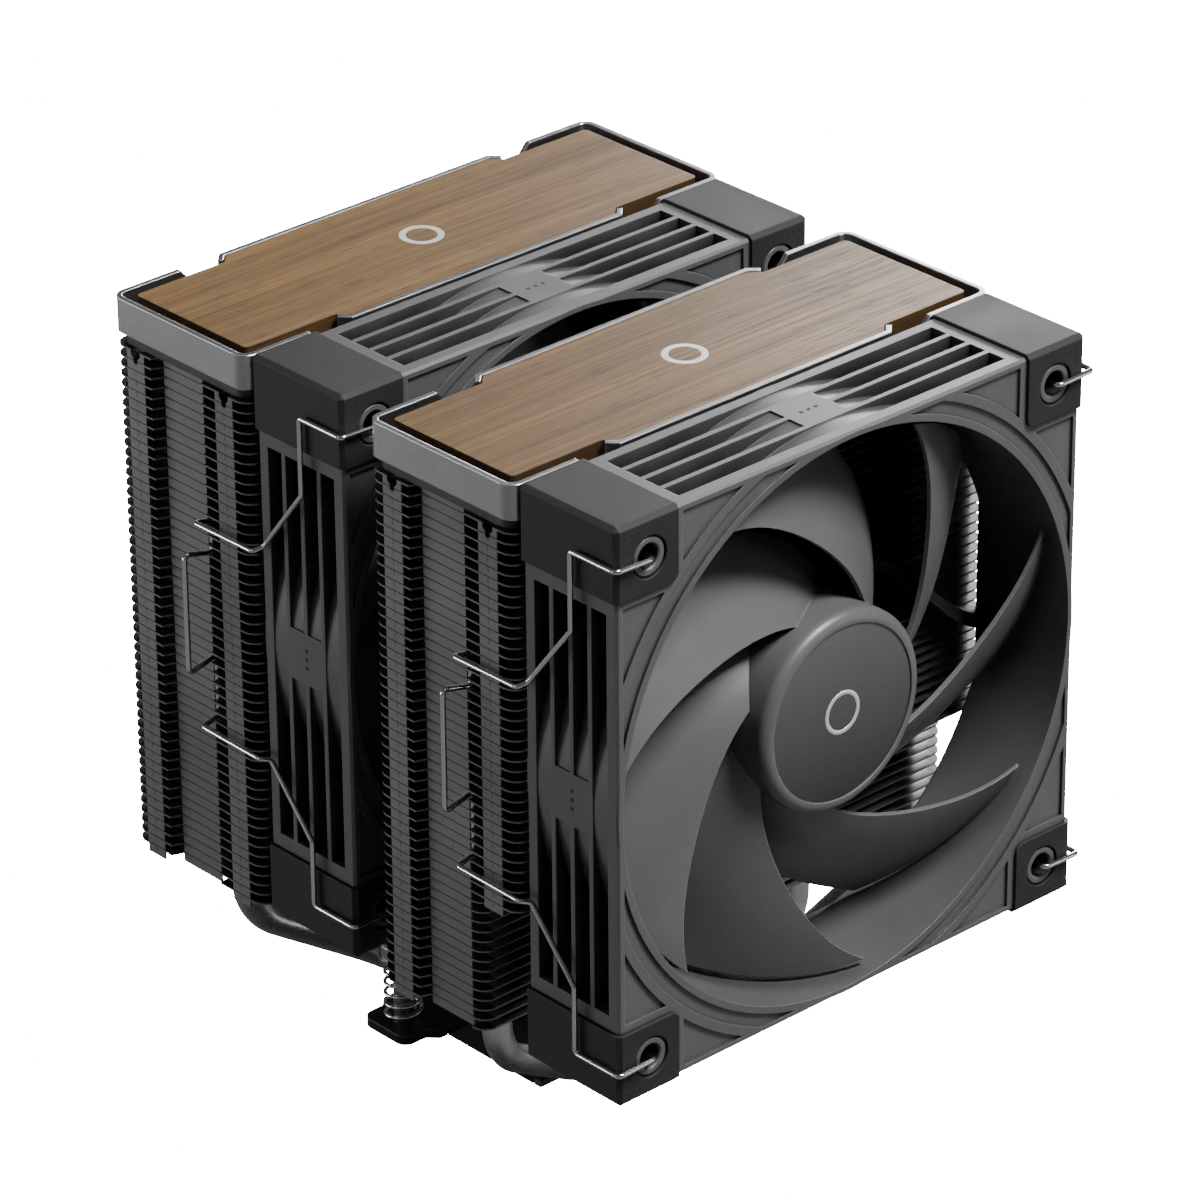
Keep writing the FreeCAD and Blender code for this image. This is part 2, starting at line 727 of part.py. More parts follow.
def build_frame(name):
    body = flat_body(name + "_frame_body", "XZ_Plane", mirrored_outline(post_corner()),
                     fan_depth, backwards=True)
    soften(body, "Chamfer", frame_bevel, lambda edge: (
        (runs_along(edge, 0) and abs(abs(edge.CenterOfMass.z) - fan_side.value / 2) < 1e-4)
        or (runs_along(edge, 2) and abs(abs(edge.CenterOfMass.x) - fan_side.value / 2) < 1e-4)))
    slot_end = arm_end - rim_width
    deep = bore_radius * 0.64
    shallow = fan_side / 2 + 1
    cuts = []
    for i in range(4):
        start = flange_thickness + (slot_width + rib_thickness) * i
        sk = sketch_on(body, "XZ_Plane", -start)
        if i in (0, 3):
            rectangle(sk, -slot_end, slot_end, deep, shallow)
        else:
            rectangle(sk, -slot_end, -centre_block / 2, deep, shallow)
            rectangle(sk, centre_block / 2, slot_end, deep, shallow)
        cuts.append(pocket(body, sk, slot_width, backwards=False))
    pattern = body.newObject("PartDesign::PolarPattern", body.Name + "_four_sides")
    pattern.Originals = cuts
    pattern.Axis = (origin_part(body, "Y_Axis"), [""])
    pattern.Angle = 360
    pattern.Occurrences = 4
    body.Tip = pattern
    doc.recompute()

    ring_pad(body, (bore_radius + bore_wall) * 2, (bore_radius - 1) * 2, as_size(0), fan_depth)
    bore = sketch_on(body, "XZ_Plane")
    circle(bore, bore_radius * 2)
    pocket(body, bore)
    holes = sketch_on(body, "XZ_Plane", pad_proud)
    for side_x in (-1, 1):
        for side_z in (-1, 1):
            circle(holes, hole_bore, hole_place * side_x, hole_place * side_z)
    pocket(body, holes)

    floor = fan_depth - motor_floor
    base = doc.addObject("PartDesign::Body", name + "_motor_base_body")
    ring_pad(base, hub_width + 0.4, None, floor, motor_floor)
    ring_pad(base, hub_width + 0.4, hub_width - 1.6, floor - 2, as_size(2) + fit_gap)
    ring_pad(base, bearing_outer() * 2 + 2.4, bearing_outer() * 2 + fit_gap * 2, stator_front() - 1,
             floor - stator_front() + 1 + fit_gap)

    struts = doc.addObject("Part::Feature", name + "_struts")
    one = strut()
    turns = [one.rotated(Vector(), Vector(0, 1, 0), 90 * i) for i in range(4)]
    struts.Shape = Part.makeCompound(turns)

    relief = doc.addObject("Part::Feature", name + "_relief")
    relief.Shape = Part.makeCompound(front_relief() + [outlet_flare()])
    shell = doc.addObject("Part::Cut", name + "_frame_shell")
    shell.Base = body
    shell.Tool = relief
    frame = doc.addObject("Part::MultiFuse", name + "_frame_joined")
    frame.Shapes = [shell, base, struts]
    frame.Refine = True
    place(frame, y=fan_places[name], z=fan_centre)
    keep(frame, name + "_fan_frame")


def front_relief():
    """What is sunk into the frame's front face: a band round the bore and eight corner panels."""
    depth = relief_depth.value
    border = relief_border.value
    square = fan_side.value / 2 - border
    corner = arm_end.value - border

    def disc(radius):
        return Part.makeCylinder(radius, depth, Vector(0, 0, 0), Vector(0, 1, 0))

    sunk_from = bore_radius.value + border
    sunk_to = sunk_from + relief_band.value
    field = box(-square, square, 0, depth, -square, square)
    band = disc(sunk_to).cut(disc(sunk_from)).common(field)
    posts = [box(*sorted((sx * corner, sx * 2 * square)), 0, depth, *sorted((sz * corner, sz * 2 * square)))
             for sx in (-1, 1) for sz in (-1, 1)]
    panels = field.cut(disc(sunk_to + relief_rib.value)).cut(Part.makeCompound(posts))
    return [band, panels]


def outlet_flare():
    """The cone that widens the bore towards its outlet, kept inside the frame's sides."""
    deep = flare_depth.value
    wide = bore_radius.value + flare_depth.value * flare_slope.value
    start = fan_depth.value - deep
    square = fan_side.value / 2 - bore_wall.value
    cone = Part.makeCone(bore_radius.value, wide, deep, Vector(0, start, 0), Vector(0, 1, 0))
    core = Part.makeCylinder(bore_radius.value - 0.01, deep, Vector(0, start, 0), Vector(0, 1, 0))
    return cone.cut(core).common(box(-square, square, 0, fan_depth.value, -square, square))


def strut():
    """One curved strut from the motor base's rim to the bore's wall, sweeping as it goes out."""
    inner = hub_width.value / 2 - 1
    outer = bore_radius.value + bore_wall.value
    depth = strut_depth.value
    start = fan_depth.value - depth
    edges = []
    for side in (-1, 1):
        points = []
        for share in (1, 0.88, 0.75, 0.6, 0.45, 0.3, 0.15, 0):
            radius = outer - (outer - inner) * share
            angle = math.radians(74 * share ** 2.2 - 8) + side * strut_width.value / 2 / radius
            points.append(Vector(radius * math.cos(angle), start, radius * math.sin(angle)))
        curve = Part.BSplineCurve()
        curve.interpolate(points)
        edges.append(curve.toShape())
    ends = [Part.LineSegment(edges[0].valueAt(at(edges[0])), edges[1].valueAt(at(edges[1]))).toShape()
            for at in (lambda e: e.FirstParameter, lambda e: e.LastParameter)]
    outline_wire = Part.Wire(Part.__sortEdges__(edges + ends))
    bar = Part.Face(outline_wire).extrude(Vector(0, depth, 0))
    axis = Vector(0, 1, 0)
    room = Part.makeCylinder(hub_width.value / 2 - 0.4, depth - motor_floor.value, Vector(0, start, 0), axis)
    return bar.cut(room)


def bearing_outer():
    return shaft_width / 2 + shaft_play + 1.6


def stator_front():
    return hub_setback + cap_thickness + 7.4


def build_pads(name):
    """Four rubber corner pads that wrap the frame's posts."""
    for level, side_z in (("top", 1), ("bottom", -1)):
        for side_name, side_x in sides.items():
            inner = pad_inner
            block = flat_body("{}_pad_{}_{}_body".format(name, level, side_name), "XZ_Plane", [
                (inner * side_x, inner * side_z), (pad_outer * side_x, inner * side_z),
                (pad_outer * side_x, pad_outer * side_z), (inner * side_x, pad_outer * side_z)],
                fan_depth + pad_proud * 2, offset=pad_proud, backwards=True)
            hollow = sketch_on(block, "XZ_Plane", fit_gap)
            near = inner - 1
            far = post_outer + fit_gap * 2
            outline(hollow, [(near * side_x, near * side_z), (far * side_x, near * side_z),
                             (far * side_x, far * side_z), (near * side_x, far * side_z)])
            pocket(block, hollow, fan_depth + fit_gap * 2)
            window = sketch_on(block, "XZ_Plane")
            circle(window, pad_window, hole_place * side_x, hole_place * side_z)
            pocket(block, window)
            soften(block, "Chamfer", pad_bevel, pad_rims(side_x, side_z))
            soften(block, "Fillet", pad_corner, pad_inner_corner(side_x, side_z))
            place(block, y=fan_places[name], z=fan_centre)
            keep(block, "{}_pad_{}_{}".format(name, level, side_name))


def pad_rims(side_x, side_z):
    """Picks the outer edges of a pad: the long one and the four where lips meet sides."""
    def wanted(edge):
        spot = edge.CenterOfMass
        at_x = abs(spot.x - pad_outer.value * side_x) < 1e-4
        at_z = abs(spot.z - pad_outer.value * side_z) < 1e-4
        at_lip = abs(abs(spot.y - fan_depth.value / 2) - fan_depth.value / 2 - pad_proud.value) < 1e-4
        return (runs_along(edge, 1) and at_x and at_z or runs_along(edge, 2) and at_x and at_lip
                or runs_along(edge, 0) and at_z and at_lip)
    return wanted


def pad_inner_corner(side_x, side_z):
    """Picks the corner of each lip that points at the fan's middle."""
    def wanted(edge):
        spot = edge.CenterOfMass
        return (runs_along(edge, 1) and abs(spot.x - pad_inner.value * side_x) < 1e-4
                and abs(spot.z - pad_inner.value * side_z) < 1e-4)
    return wanted


def blade():
    """One swept blade as a solid between two smooth surfaces, its root inside the hub wall."""
    root = hub_width.value / 2 - hub_wall.value * 0.6
    tip = bore_radius.value - blade_gap.value
    front_tip = hub_setback.value + 0.7
    rear = hub_rear.value - 0.6
    stations = [root + (tip - root) * t for t in (0, 0.12, 0.28, 0.46, 0.64, 0.82, 1)]
    steps = [i / 8 for i in range(9)]

    def grid(side):
        rows = []
        for radius in stations:
            share = (tip - radius) / (tip - root)
            lead = -math.radians(50 * share - 35 * share ** 2 + 49 * share ** 3)
            chord = math.radians(38 + 33 * share + 42 * share ** 2) + lead
            front = front_tip + 6 * share - 1.3 * share ** 2
            half_thick = (0.55 + 0.35 * share)
            row = []
            for step in steps:
                depth = front + (rear - front) * step * (0.72 + 0.28 * step)
                slope = (rear - front) * (0.72 + 0.56 * step)
                along = radius * chord
                length = math.hypot(slope, along)
                taper = half_thick * (0.45 + 0.55 * math.sin(math.pi * (0.12 + 0.76 * step)))
                angle = lead - chord * step + side * taper * slope / length / radius
                row.append(Vector(radius * math.cos(angle), depth + side * taper * along / length,
                                  radius * math.sin(angle)))
            rows.append(row)
        return rows

    faces = []
    surfaces = []
    for side in (1, -1):
        surface = Part.BSplineSurface()
        surface.interpolate(grid(side))
        surfaces.append(surface)
        faces.append(surface.toShape())
    for edge_a, edge_b in zip(border(surfaces[0]), border(surfaces[1])):
        faces.append(Part.makeRuledSurface(edge_a, edge_b))
    shell = Part.makeShell(faces)
    shell.sewShape()
    solid = Part.Solid(shell)
    if solid.Volume < 0:
        solid.reverse()
    return solid


def border(surface):
    """The four boundary curves of a spline surface, as edges."""
    u0, u1, v0, v1 = surface.bounds()
    return [surface.uIso(u0).toShape(), surface.uIso(u1).toShape(),
            surface.vIso(v0).toShape(), surface.vIso(v1).toShape()]


def build_rotor(name):
    """The parts that spin: impeller, hub cap, steel yoke, magnet ring and shaft."""
    at = {"y": fan_places[name], "z": fan_centre}
    hub_radius = hub_width / 2
    cap_floor = hub_setback + 0.3 + cap_thickness
    cap_seat = cap_floor + fit_gap
    cup_floor = cap_seat + 1.6
    cup_in = hub_radius - hub_wall
    shaft = shaft_width / 2
    rear = hub_rear
    hub = turned_body(name + "_hub_body", "Y_Axis", [
        (shaft, cap_seat), (cap_width / 2 + fit_gap, cap_seat), (cap_width / 2 + fit_gap, hub_setback),
        (hub_radius, hub_setback), (hub_radius, rear), (cup_in, rear), (cup_in, cup_floor),
        (shaft + 2, cup_floor), (shaft + 2, cup_floor + 2.4), (shaft, cup_floor + 2.4)])
    soften(hub, "Fillet", hub_rim * 0.8, lambda edge: (
        abs(edge.Length - math.pi * hub_width.value) < 0.01
        and abs(edge.CenterOfMass.y - hub_setback.value) < 1e-4))
    blades = doc.addObject("Part::Feature", name + "_blades")
    one = blade()
    turns = [one.rotated(Vector(), Vector(0, 1, 0), -20 - 360 / blade_count * i)
             for i in range(blade_count)]
    blades.Shape = Part.makeCompound(turns)
    impeller = doc.addObject("Part::MultiFuse", name + "_impeller_joined")
    impeller.Shapes = [hub, blades]
    keep(place(impeller, **at), name + "_impeller")

    cap = turned_body(name + "_cap_body", "Y_Axis", [
        (0, cap_floor - cap_thickness), (cap_width / 2, cap_floor - cap_thickness),
        (cap_width / 2, cap_floor), (0, cap_floor)])
    keep(place(cap, **at), name + "_hub_cap")

    yoke_out = cup_in - fit_gap
    yoke_in = yoke_out - 0.8
    yoke_front = cup_floor + fit_gap
    yoke_rear = rear - 0.5
    yoke = turned_body(name + "_yoke_body", "Y_Axis", [
        (shaft + 2.1, yoke_front), (yoke_out, yoke_front), (yoke_out, yoke_rear),
        (yoke_in, yoke_rear), (yoke_in, yoke_front + 0.8), (shaft + 2.1, yoke_front + 0.8)])
    keep(place(yoke, **at), name + "_rotor_yoke")

    magnet_out = yoke_in - fit_gap
    magnet = turned_body(name + "_magnet_body", "Y_Axis", [
        (magnet_out - 1.5, yoke_front + 2), (magnet_out, yoke_front + 2),
        (magnet_out, yoke_rear - 1), (magnet_out - 1.5, yoke_rear - 1)])
    keep(place(magnet, **at), name + "_magnet_ring")

    spindle = turned_body(name + "_shaft_body", "Y_Axis", [
        (0, cap_seat + 0.3), (shaft, cap_seat + 0.3), (shaft, fan_depth - motor_floor - 0.4),
        (0, fan_depth - motor_floor - 0.4)])
    keep(place(spindle, **at), name + "_rotor_shaft")


def build_motor(name):
    """The fixed motor parts inside the hub: bearing sleeve, stator core, windings and board."""
    at = {"y": fan_places[name], "z": fan_centre}
    floor = fan_depth - motor_floor
    sleeve_in = shaft_width / 2 + shaft_play
    sleeve_out = bearing_outer()
    sleeve = turned_body(name + "_sleeve_body", "Y_Axis", [
        (sleeve_in, stator_front() - 1), (sleeve_out, stator_front() - 1),
        (sleeve_out, floor), (sleeve_in, floor)])
    keep(place(sleeve, **at), name + "_bearing_sleeve")

    hub_radius = hub_width / 2
    pole_reach = hub_radius - hub_wall - fit_gap * 2 - 0.8 - 1.5 - 0.5
    core_in = sleeve_out + 1.2 + fit_gap
    core_length = floor - 4.2 - stator_front()
    neck = pole_reach * 0.28
    core = doc.addObject("PartDesign::Body", name + "_core_body")
    ring_pad(core, core_in * 2 + 5, core_in * 2, stator_front(), core_length)
    shoes = sketch_on(core, "XZ_Plane", -stator_front())
    limbs = [(neck / 2, core_in + 1), (neck / 2, pole_reach * 0.82), (pole_reach * 0.5, pole_reach * 0.82),
             (pole_reach * 0.45, pole_reach * 0.88), (-pole_reach * 0.45, pole_reach * 0.88),
             (-pole_reach * 0.5, pole_reach * 0.82), (-neck / 2, pole_reach * 0.82),
             (-neck / 2, core_in + 1)]
    outline(shoes, limbs)
    limb = pad(core, shoes, core_length, backwards=True)
    around = core.newObject("PartDesign::PolarPattern", core.Name + "_poles")
    around.Originals = [limb]
    around.Axis = (origin_part(core, "Y_Axis"), [""])
    around.Angle = 360
    around.Occurrences = 4
    core.Tip = around
    doc.recompute()
    keep(place(core, **at), name + "_stator_core")

    coils = []
    for i in range(4):
        coil = doc.addObject("PartDesign::Body", "{}_coil_{}".format(name, i + 1))
        sk = sketch_on(coil, "XY_Plane", core_in + 2.8)
        thick = 1.1
        half_x = neck / 2 + fit_gap
        y0 = stator_front() - fit_gap
        y1 = stator_front() + core_length + fit_gap
        rectangle(sk, -half_x - thick, half_x + thick, y0 - thick, y1 + thick)
        rectangle(sk, -half_x, half_x, y0, y1)
        pad(coil, sk, pole_reach * 0.82 - core_in - 3)
        coil.Placement = Placement(Vector(), Rotation(Vector(0, 1, 0), 90 * i))
        coils.append(coil)
    windings = doc.addObject("Part::Compound", name + "_windings")
    windings.Links = coils
    keep(place(windings, **at), name + "_stator_coils")

    board = doc.addObject("PartDesign::Body", name + "_board_body")
    ring_pad(board, pole_reach * 2 + 1, core_in * 2 + 0.4, floor - fit_gap - 1, as_size(1))
    keep(place(board, **at), name + "_circuit_board")


def build_clip(name, side_name):
    """A wire clip: its hooks sit in two fan holes and its middle snaps behind a fin strip."""
    side = sides[side_name]
    hole = hole_place.value
    leg_end = clip_leg.value
    front = -pad_proud.value - clip_front.value
    out = pad_outer.value + clip_side.value
    back = clip_setback.value
    fins_front = fan_depth.value + fan_gap.value
    strip_x = tower_width.value / 2
    notch_y = fins_front + 2 * strip_inset.value + strip_width.value + hook_notch.value * 0.53
    over_x = strip_x + clip_pass_gap.value
    slant_x = min(out, over_x - 1.9)
    inside_x = strip_x - hook_depth.value + clip_wire.value / 2 + 0.65
    grip_x = strip_x + clip_grip_out.value
    wire = clip_wire.value / 2

    def half(sign, slant, passing, grip):
        """The points from the hook in the hole to the middle of the finger grip."""
        return [(hole, leg_end, sign * hole), (hole, front, sign * hole),
                (out, front, sign * (hole + 0.3)), (out, back, sign * (hole + 0.3)),
                (out, back, sign * slant), (slant_x, fins_front - 3.6, sign * (passing + 1.0)),
                (over_x, fins_front - 2.7, sign * (passing + 0.3)), (over_x, notch_y, sign * passing),
                (inside_x, notch_y, sign * (passing - 1)), (inside_x, notch_y, sign * (grip - 1.8)),
                (grip_x, notch_y, sign * grip)]

    upper = half(1, clip_slant_top.value, clip_pass_top.value, clip_grip_top.value)
    lower = half(-1, clip_slant_bottom.value, clip_pass_bottom.value, clip_grip_bottom.value)
    points = [Vector(side * x, y, z) for x, y, z in upper + lower[::-1]]
    clip = doc.addObject("Part::Feature", "{}_{}_clip_wire".format(name, side_name))
    clip.Shape = rod(points, wire, clip_bend.value)
    place(clip, y=fan_places[name], z=fan_centre)
    keep(clip, "{}_clip_{}".format(name, side_name))


# ---------------------------------------------------------------- spring screws

def build_spring_screw(side_name):
    """One screw held in the bar's ear by a retaining ring, with its spring under the head."""
    at_x = screw_spacing * sides[side_name] / 2
    shank = screw_width / 2
    groove = shank - groove_depth
    ring_top = bar_floor - loose_gap
    ring_floor = ring_top - ring_thickness
    tip = bar_floor - screw_drop
    head_top = head_floor + head_height
    screw = turned_body(side_name + "_screw_body", "Z_Axis", [
        (0, tip), (shank - 0.5, tip), (shank, tip + 0.5), (shank, ring_floor - fit_gap),
        (groove, ring_floor - fit_gap), (groove, ring_top + fit_gap), (shank, ring_top + fit_gap),
        (shank, head_floor), (head_width / 2 + 0.4, head_floor),
        (head_width / 2 + 0.4, head_floor + 0.8), (head_width / 2, head_floor + 0.8),
        (head_width / 2, head_top - 0.5), (head_width / 2 - 0.5, head_top), (0, head_top)])
    recess = sketch_on(screw, "XY_Plane", head_top)
    long_arm = head_width * 0.3
    slim_arm = head_width * 0.07
    outline(recess, mirrored_outline([(long_arm, slim_arm), (slim_arm, slim_arm), (slim_arm, long_arm)]))
    pocket(screw, recess, head_height * 0.6)
    keep(place(screw, x=at_x), side_name + "_spring_screw")

    ring = doc.addObject("PartDesign::Body", side_name + "_ring_body")
    face = sketch_on(ring, "XY_Plane", ring_floor)
    circle(face, ring_width)
    circle(face, (groove + fit_gap) * 2)
    pad(ring, face, ring_thickness)
    mouth = sketch_on(ring, "XY_Plane", ring_floor)
    rectangle(mouth, as_size(0), ring_width, -groove * 0.8, groove * 0.8)
    pocket(ring, mouth)
    keep(place(ring, x=at_x), side_name + "_retaining_ring")

    wire = spring_wire.value / 2
    radius = spring_width.value / 2 - wire
    height = spring_height.value - 2 * wire - 2 * fit_gap.value
    helix = Part.makeHelix(height / 5.5, height, radius)
    section = Part.Wire(Part.Circle(Vector(radius, 0, 0), Vector(0, 1, 0), wire).toShape())
    coil = doc.addObject("Part::Feature", side_name + "_spring_wire")
    coil.Shape = Part.Wire(helix.Edges).makePipeShell([section], True, True)
    place(coil, x=at_x, z=bar_top + spring_wire / 2 + fit_gap)
    keep(coil, side_name + "_screw_spring")


# ---------------------------------------------------------------- build, check, export

build_base()
build_heat_pipes()
for tower, cut_count in (("front", cut_fin_count), ("rear", 0)):
    build_fin_stack(tower, cut_count)
    build_cover(tower)
for fan in ("front", "rear"):
    build_frame(fan)
    build_pads(fan)
    build_motor(fan)
    build_rotor(fan)
    for clip_side_name in sides:
        build_clip(fan, clip_side_name)
for screw_side in sides:
    build_spring_screw(screw_side)

doc.recompute()
for thing in doc.Objects:
    if "Invalid" in thing.State or "Error" in thing.State:
        raise RuntimeError("{} failed: {}".format(thing.Label, thing.State))
for node in nodes:
    if node.Shape.isNull() or not node.Shape.isValid() or not node.Shape.Solids:
        raise RuntimeError("{} has no valid solid".format(node.Label))

os.makedirs("parts", exist_ok=True)
for node in nodes:
    node.Shape.exportStep("parts/{}.step".format(node.Label))
print("{} sub-parts written".format(len(nodes)))
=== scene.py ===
import json
import logging
import math
from dataclasses import dataclass, field
from enum import Enum

import bmesh
import bpy
from mathutils import Matrix, Vector

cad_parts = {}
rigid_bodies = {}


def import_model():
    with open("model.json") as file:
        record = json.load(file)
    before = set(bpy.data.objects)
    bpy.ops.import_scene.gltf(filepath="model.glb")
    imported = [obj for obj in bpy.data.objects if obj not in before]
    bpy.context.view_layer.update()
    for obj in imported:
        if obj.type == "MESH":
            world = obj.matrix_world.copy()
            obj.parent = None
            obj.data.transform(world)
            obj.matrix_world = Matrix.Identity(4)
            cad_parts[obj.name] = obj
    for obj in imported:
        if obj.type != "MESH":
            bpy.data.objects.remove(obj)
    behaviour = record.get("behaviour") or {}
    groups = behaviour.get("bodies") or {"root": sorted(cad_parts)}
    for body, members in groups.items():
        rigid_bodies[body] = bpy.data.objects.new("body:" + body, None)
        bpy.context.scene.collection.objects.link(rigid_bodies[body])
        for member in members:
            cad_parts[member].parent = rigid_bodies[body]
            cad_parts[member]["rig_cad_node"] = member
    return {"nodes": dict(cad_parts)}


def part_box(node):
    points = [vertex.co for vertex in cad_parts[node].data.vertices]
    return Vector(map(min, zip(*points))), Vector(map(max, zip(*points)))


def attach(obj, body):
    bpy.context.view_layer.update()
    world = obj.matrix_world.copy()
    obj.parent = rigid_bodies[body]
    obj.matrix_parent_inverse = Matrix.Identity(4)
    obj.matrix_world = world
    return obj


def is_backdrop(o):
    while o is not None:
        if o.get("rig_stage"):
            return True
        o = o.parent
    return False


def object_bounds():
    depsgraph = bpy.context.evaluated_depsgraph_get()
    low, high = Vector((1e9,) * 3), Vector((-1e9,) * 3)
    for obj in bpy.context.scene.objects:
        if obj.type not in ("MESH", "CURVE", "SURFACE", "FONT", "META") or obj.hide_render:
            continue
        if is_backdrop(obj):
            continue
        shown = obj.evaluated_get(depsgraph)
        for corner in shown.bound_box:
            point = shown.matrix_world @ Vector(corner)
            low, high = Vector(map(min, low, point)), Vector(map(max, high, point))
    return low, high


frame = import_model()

MM = 0.001
ROOT_BODY = "cooler"
SIDES = {"left": -1, "right": 1}
LEVELS = {"top": 1, "bottom": -1}
CORNERS = ((-1, -1), (1, -1), (1, 1), (-1, 1))
TILE_TAPER = 0.86
DUST_COLOUR = (0.45, 0.44, 0.42)
DUST_SHARE = 0.35
# Painted shade: a near-black colour blended into slots, corners and recesses by an ambient occlusion
# mask.
HOLLOW_SHADE_COLOUR = (0.0015, 0.0015, 0.0015)
HOLLOW_SHADE_SHARE = 0.92
JOINT_COLOUR = (0.004, 0.004, 0.004)
JOINT_SHARE = 0.75
# Painted shade: colour and share of the dark dashed line along each fin strip's creased middle.
CREASE_SHADE_COLOUR = (0.01, 0.01, 0.01)
CREASE_SHADE_SHARE = 0.5
PLATE_OFFSET = 0.000025
log = logging.getLogger("tower_cooler")

Colour = tuple[float, float, float]
Profile = list[tuple[float, float]]


# ---------------------------------------------------------------- shader nodes

class Tree:
    """Adds and joins the nodes of one shader tree or group."""

    def __init__(self, tree: bpy.types.NodeTree) -> None:
        """Start on an existing tree."""
        self.tree = tree

    def add(self, kind: str, values: dict | None = None, **settings: object) -> bpy.types.Node:
        """Add a node.

        Args:
            kind: The node's type without the ShaderNode prefix, or its full type name.
            values: Input sockets to fill, by name or index, with a number, colour or another socket.
            settings: Properties of the node itself.

        Returns:
            The new node.
        """
        full = kind if kind.startswith("Node") else "ShaderNode" + kind
        node = self.tree.nodes.new(full)
        for name, value in settings.items():
            setattr(node, name, value)
        for name, value in (values or {}).items():
            if isinstance(value, bpy.types.NodeSocket):
                self.tree.links.new(value, node.inputs[name])
            else:
                node.inputs[name].default_value = value
        return node

    def math(self, operation: str, first: object, second: object = 0.0) -> bpy.types.NodeSocket:
        """Return the result of a one-step sum on numbers or sockets."""
        return self.add("Math", {0: first, 1: second}, operation=operation).outputs[0]

    def noise(self, vector: bpy.types.NodeSocket, scale: object,
              detail: float = 3.0) -> bpy.types.NodeSocket:
        """Return the value of a noise texture at a point."""
        values = {"Vector": vector, "Scale": scale, "Detail": detail}
        return self.add("TexNoise", values).outputs[0]

    def stretched(self, scale: tuple[float, float, float]) -> bpy.types.NodeSocket:
        """Return object coordinates scaled differently along each axis."""
        place = self.add("TexCoord").outputs["Object"]
        return self.add("Mapping", {"Vector": place, "Scale": scale}).outputs[0]

    def remap(self, value: bpy.types.NodeSocket, low: float, high: float,
              to_low: float, to_high: float) -> bpy.types.NodeSocket:
        """Move a value from one range to another and clamp it.

        Args:
            value: The value to move.
            low: Where its own range starts.
            high: Where its own range ends.
            to_low: What the start becomes.
            to_high: What the end becomes.

        Returns:
            The moved value.
        """
        values = {"Value": value, "From Min": low, "From Max": high,
                  "To Min": to_low, "To Max": to_high}
        return self.add("MapRange", values).outputs[0]

    def blend(self, mask: bpy.types.NodeSocket, first: object,
              second: object) -> bpy.types.NodeSocket:
        """Mix two colours by a mask.

        Args:
            mask: 0 gives the first colour and 1 the second.
            first: A colour or a colour socket.
            second: A colour or a colour socket.

        Returns:
            The mixed colour.
        """
        def filled(colour: object) -> object:
            """Return a plain colour with its alpha, or a socket as it is."""
            return colour if isinstance(colour, bpy.types.NodeSocket) else (*colour, 1.0)
        mix = self.add("Mix", {0: mask, 6: filled(first), 7: filled(second)}, data_type="RGBA")
        return mix.outputs[2]


def empty_material(name: str) -> tuple[bpy.types.Material, Tree]:
    """Make a material with no nodes.

    Args:
        name: The material's name.

    Returns:
        The material and its empty tree.
    """
    made = bpy.data.materials.new(name)
    made.use_nodes = True
    made.node_tree.nodes.clear()
    return made, Tree(made.node_tree)


def new_group(name: str, inputs: dict[str, float],
              outputs: dict[str, str]) -> tuple[Tree, dict, bpy.types.Node]:
    """Make an empty shader group.

    Args:
        name: The group's name.
        inputs: Its number inputs with their default values.
        outputs: Its outputs with their socket kinds, Float, Color or Vector.

    Returns:
        The group's tree, its input sockets by name, and its output node.
    """
    group = bpy.data.node_groups.new(name, "ShaderNodeTree")
    for label, value in inputs.items():
        socket = group.interface.new_socket(label, in_out="INPUT", socket_type="NodeSocketFloat")
        socket.default_value = value
    for label, kind in outputs.items():
        group.interface.new_socket(label, in_out="OUTPUT", socket_type="NodeSocket" + kind)
    tree = Tree(group)
    start = tree.add("NodeGroupInput")
    return tree, {label: start.outputs[label] for label in inputs}, tree.add("NodeGroupOutput")


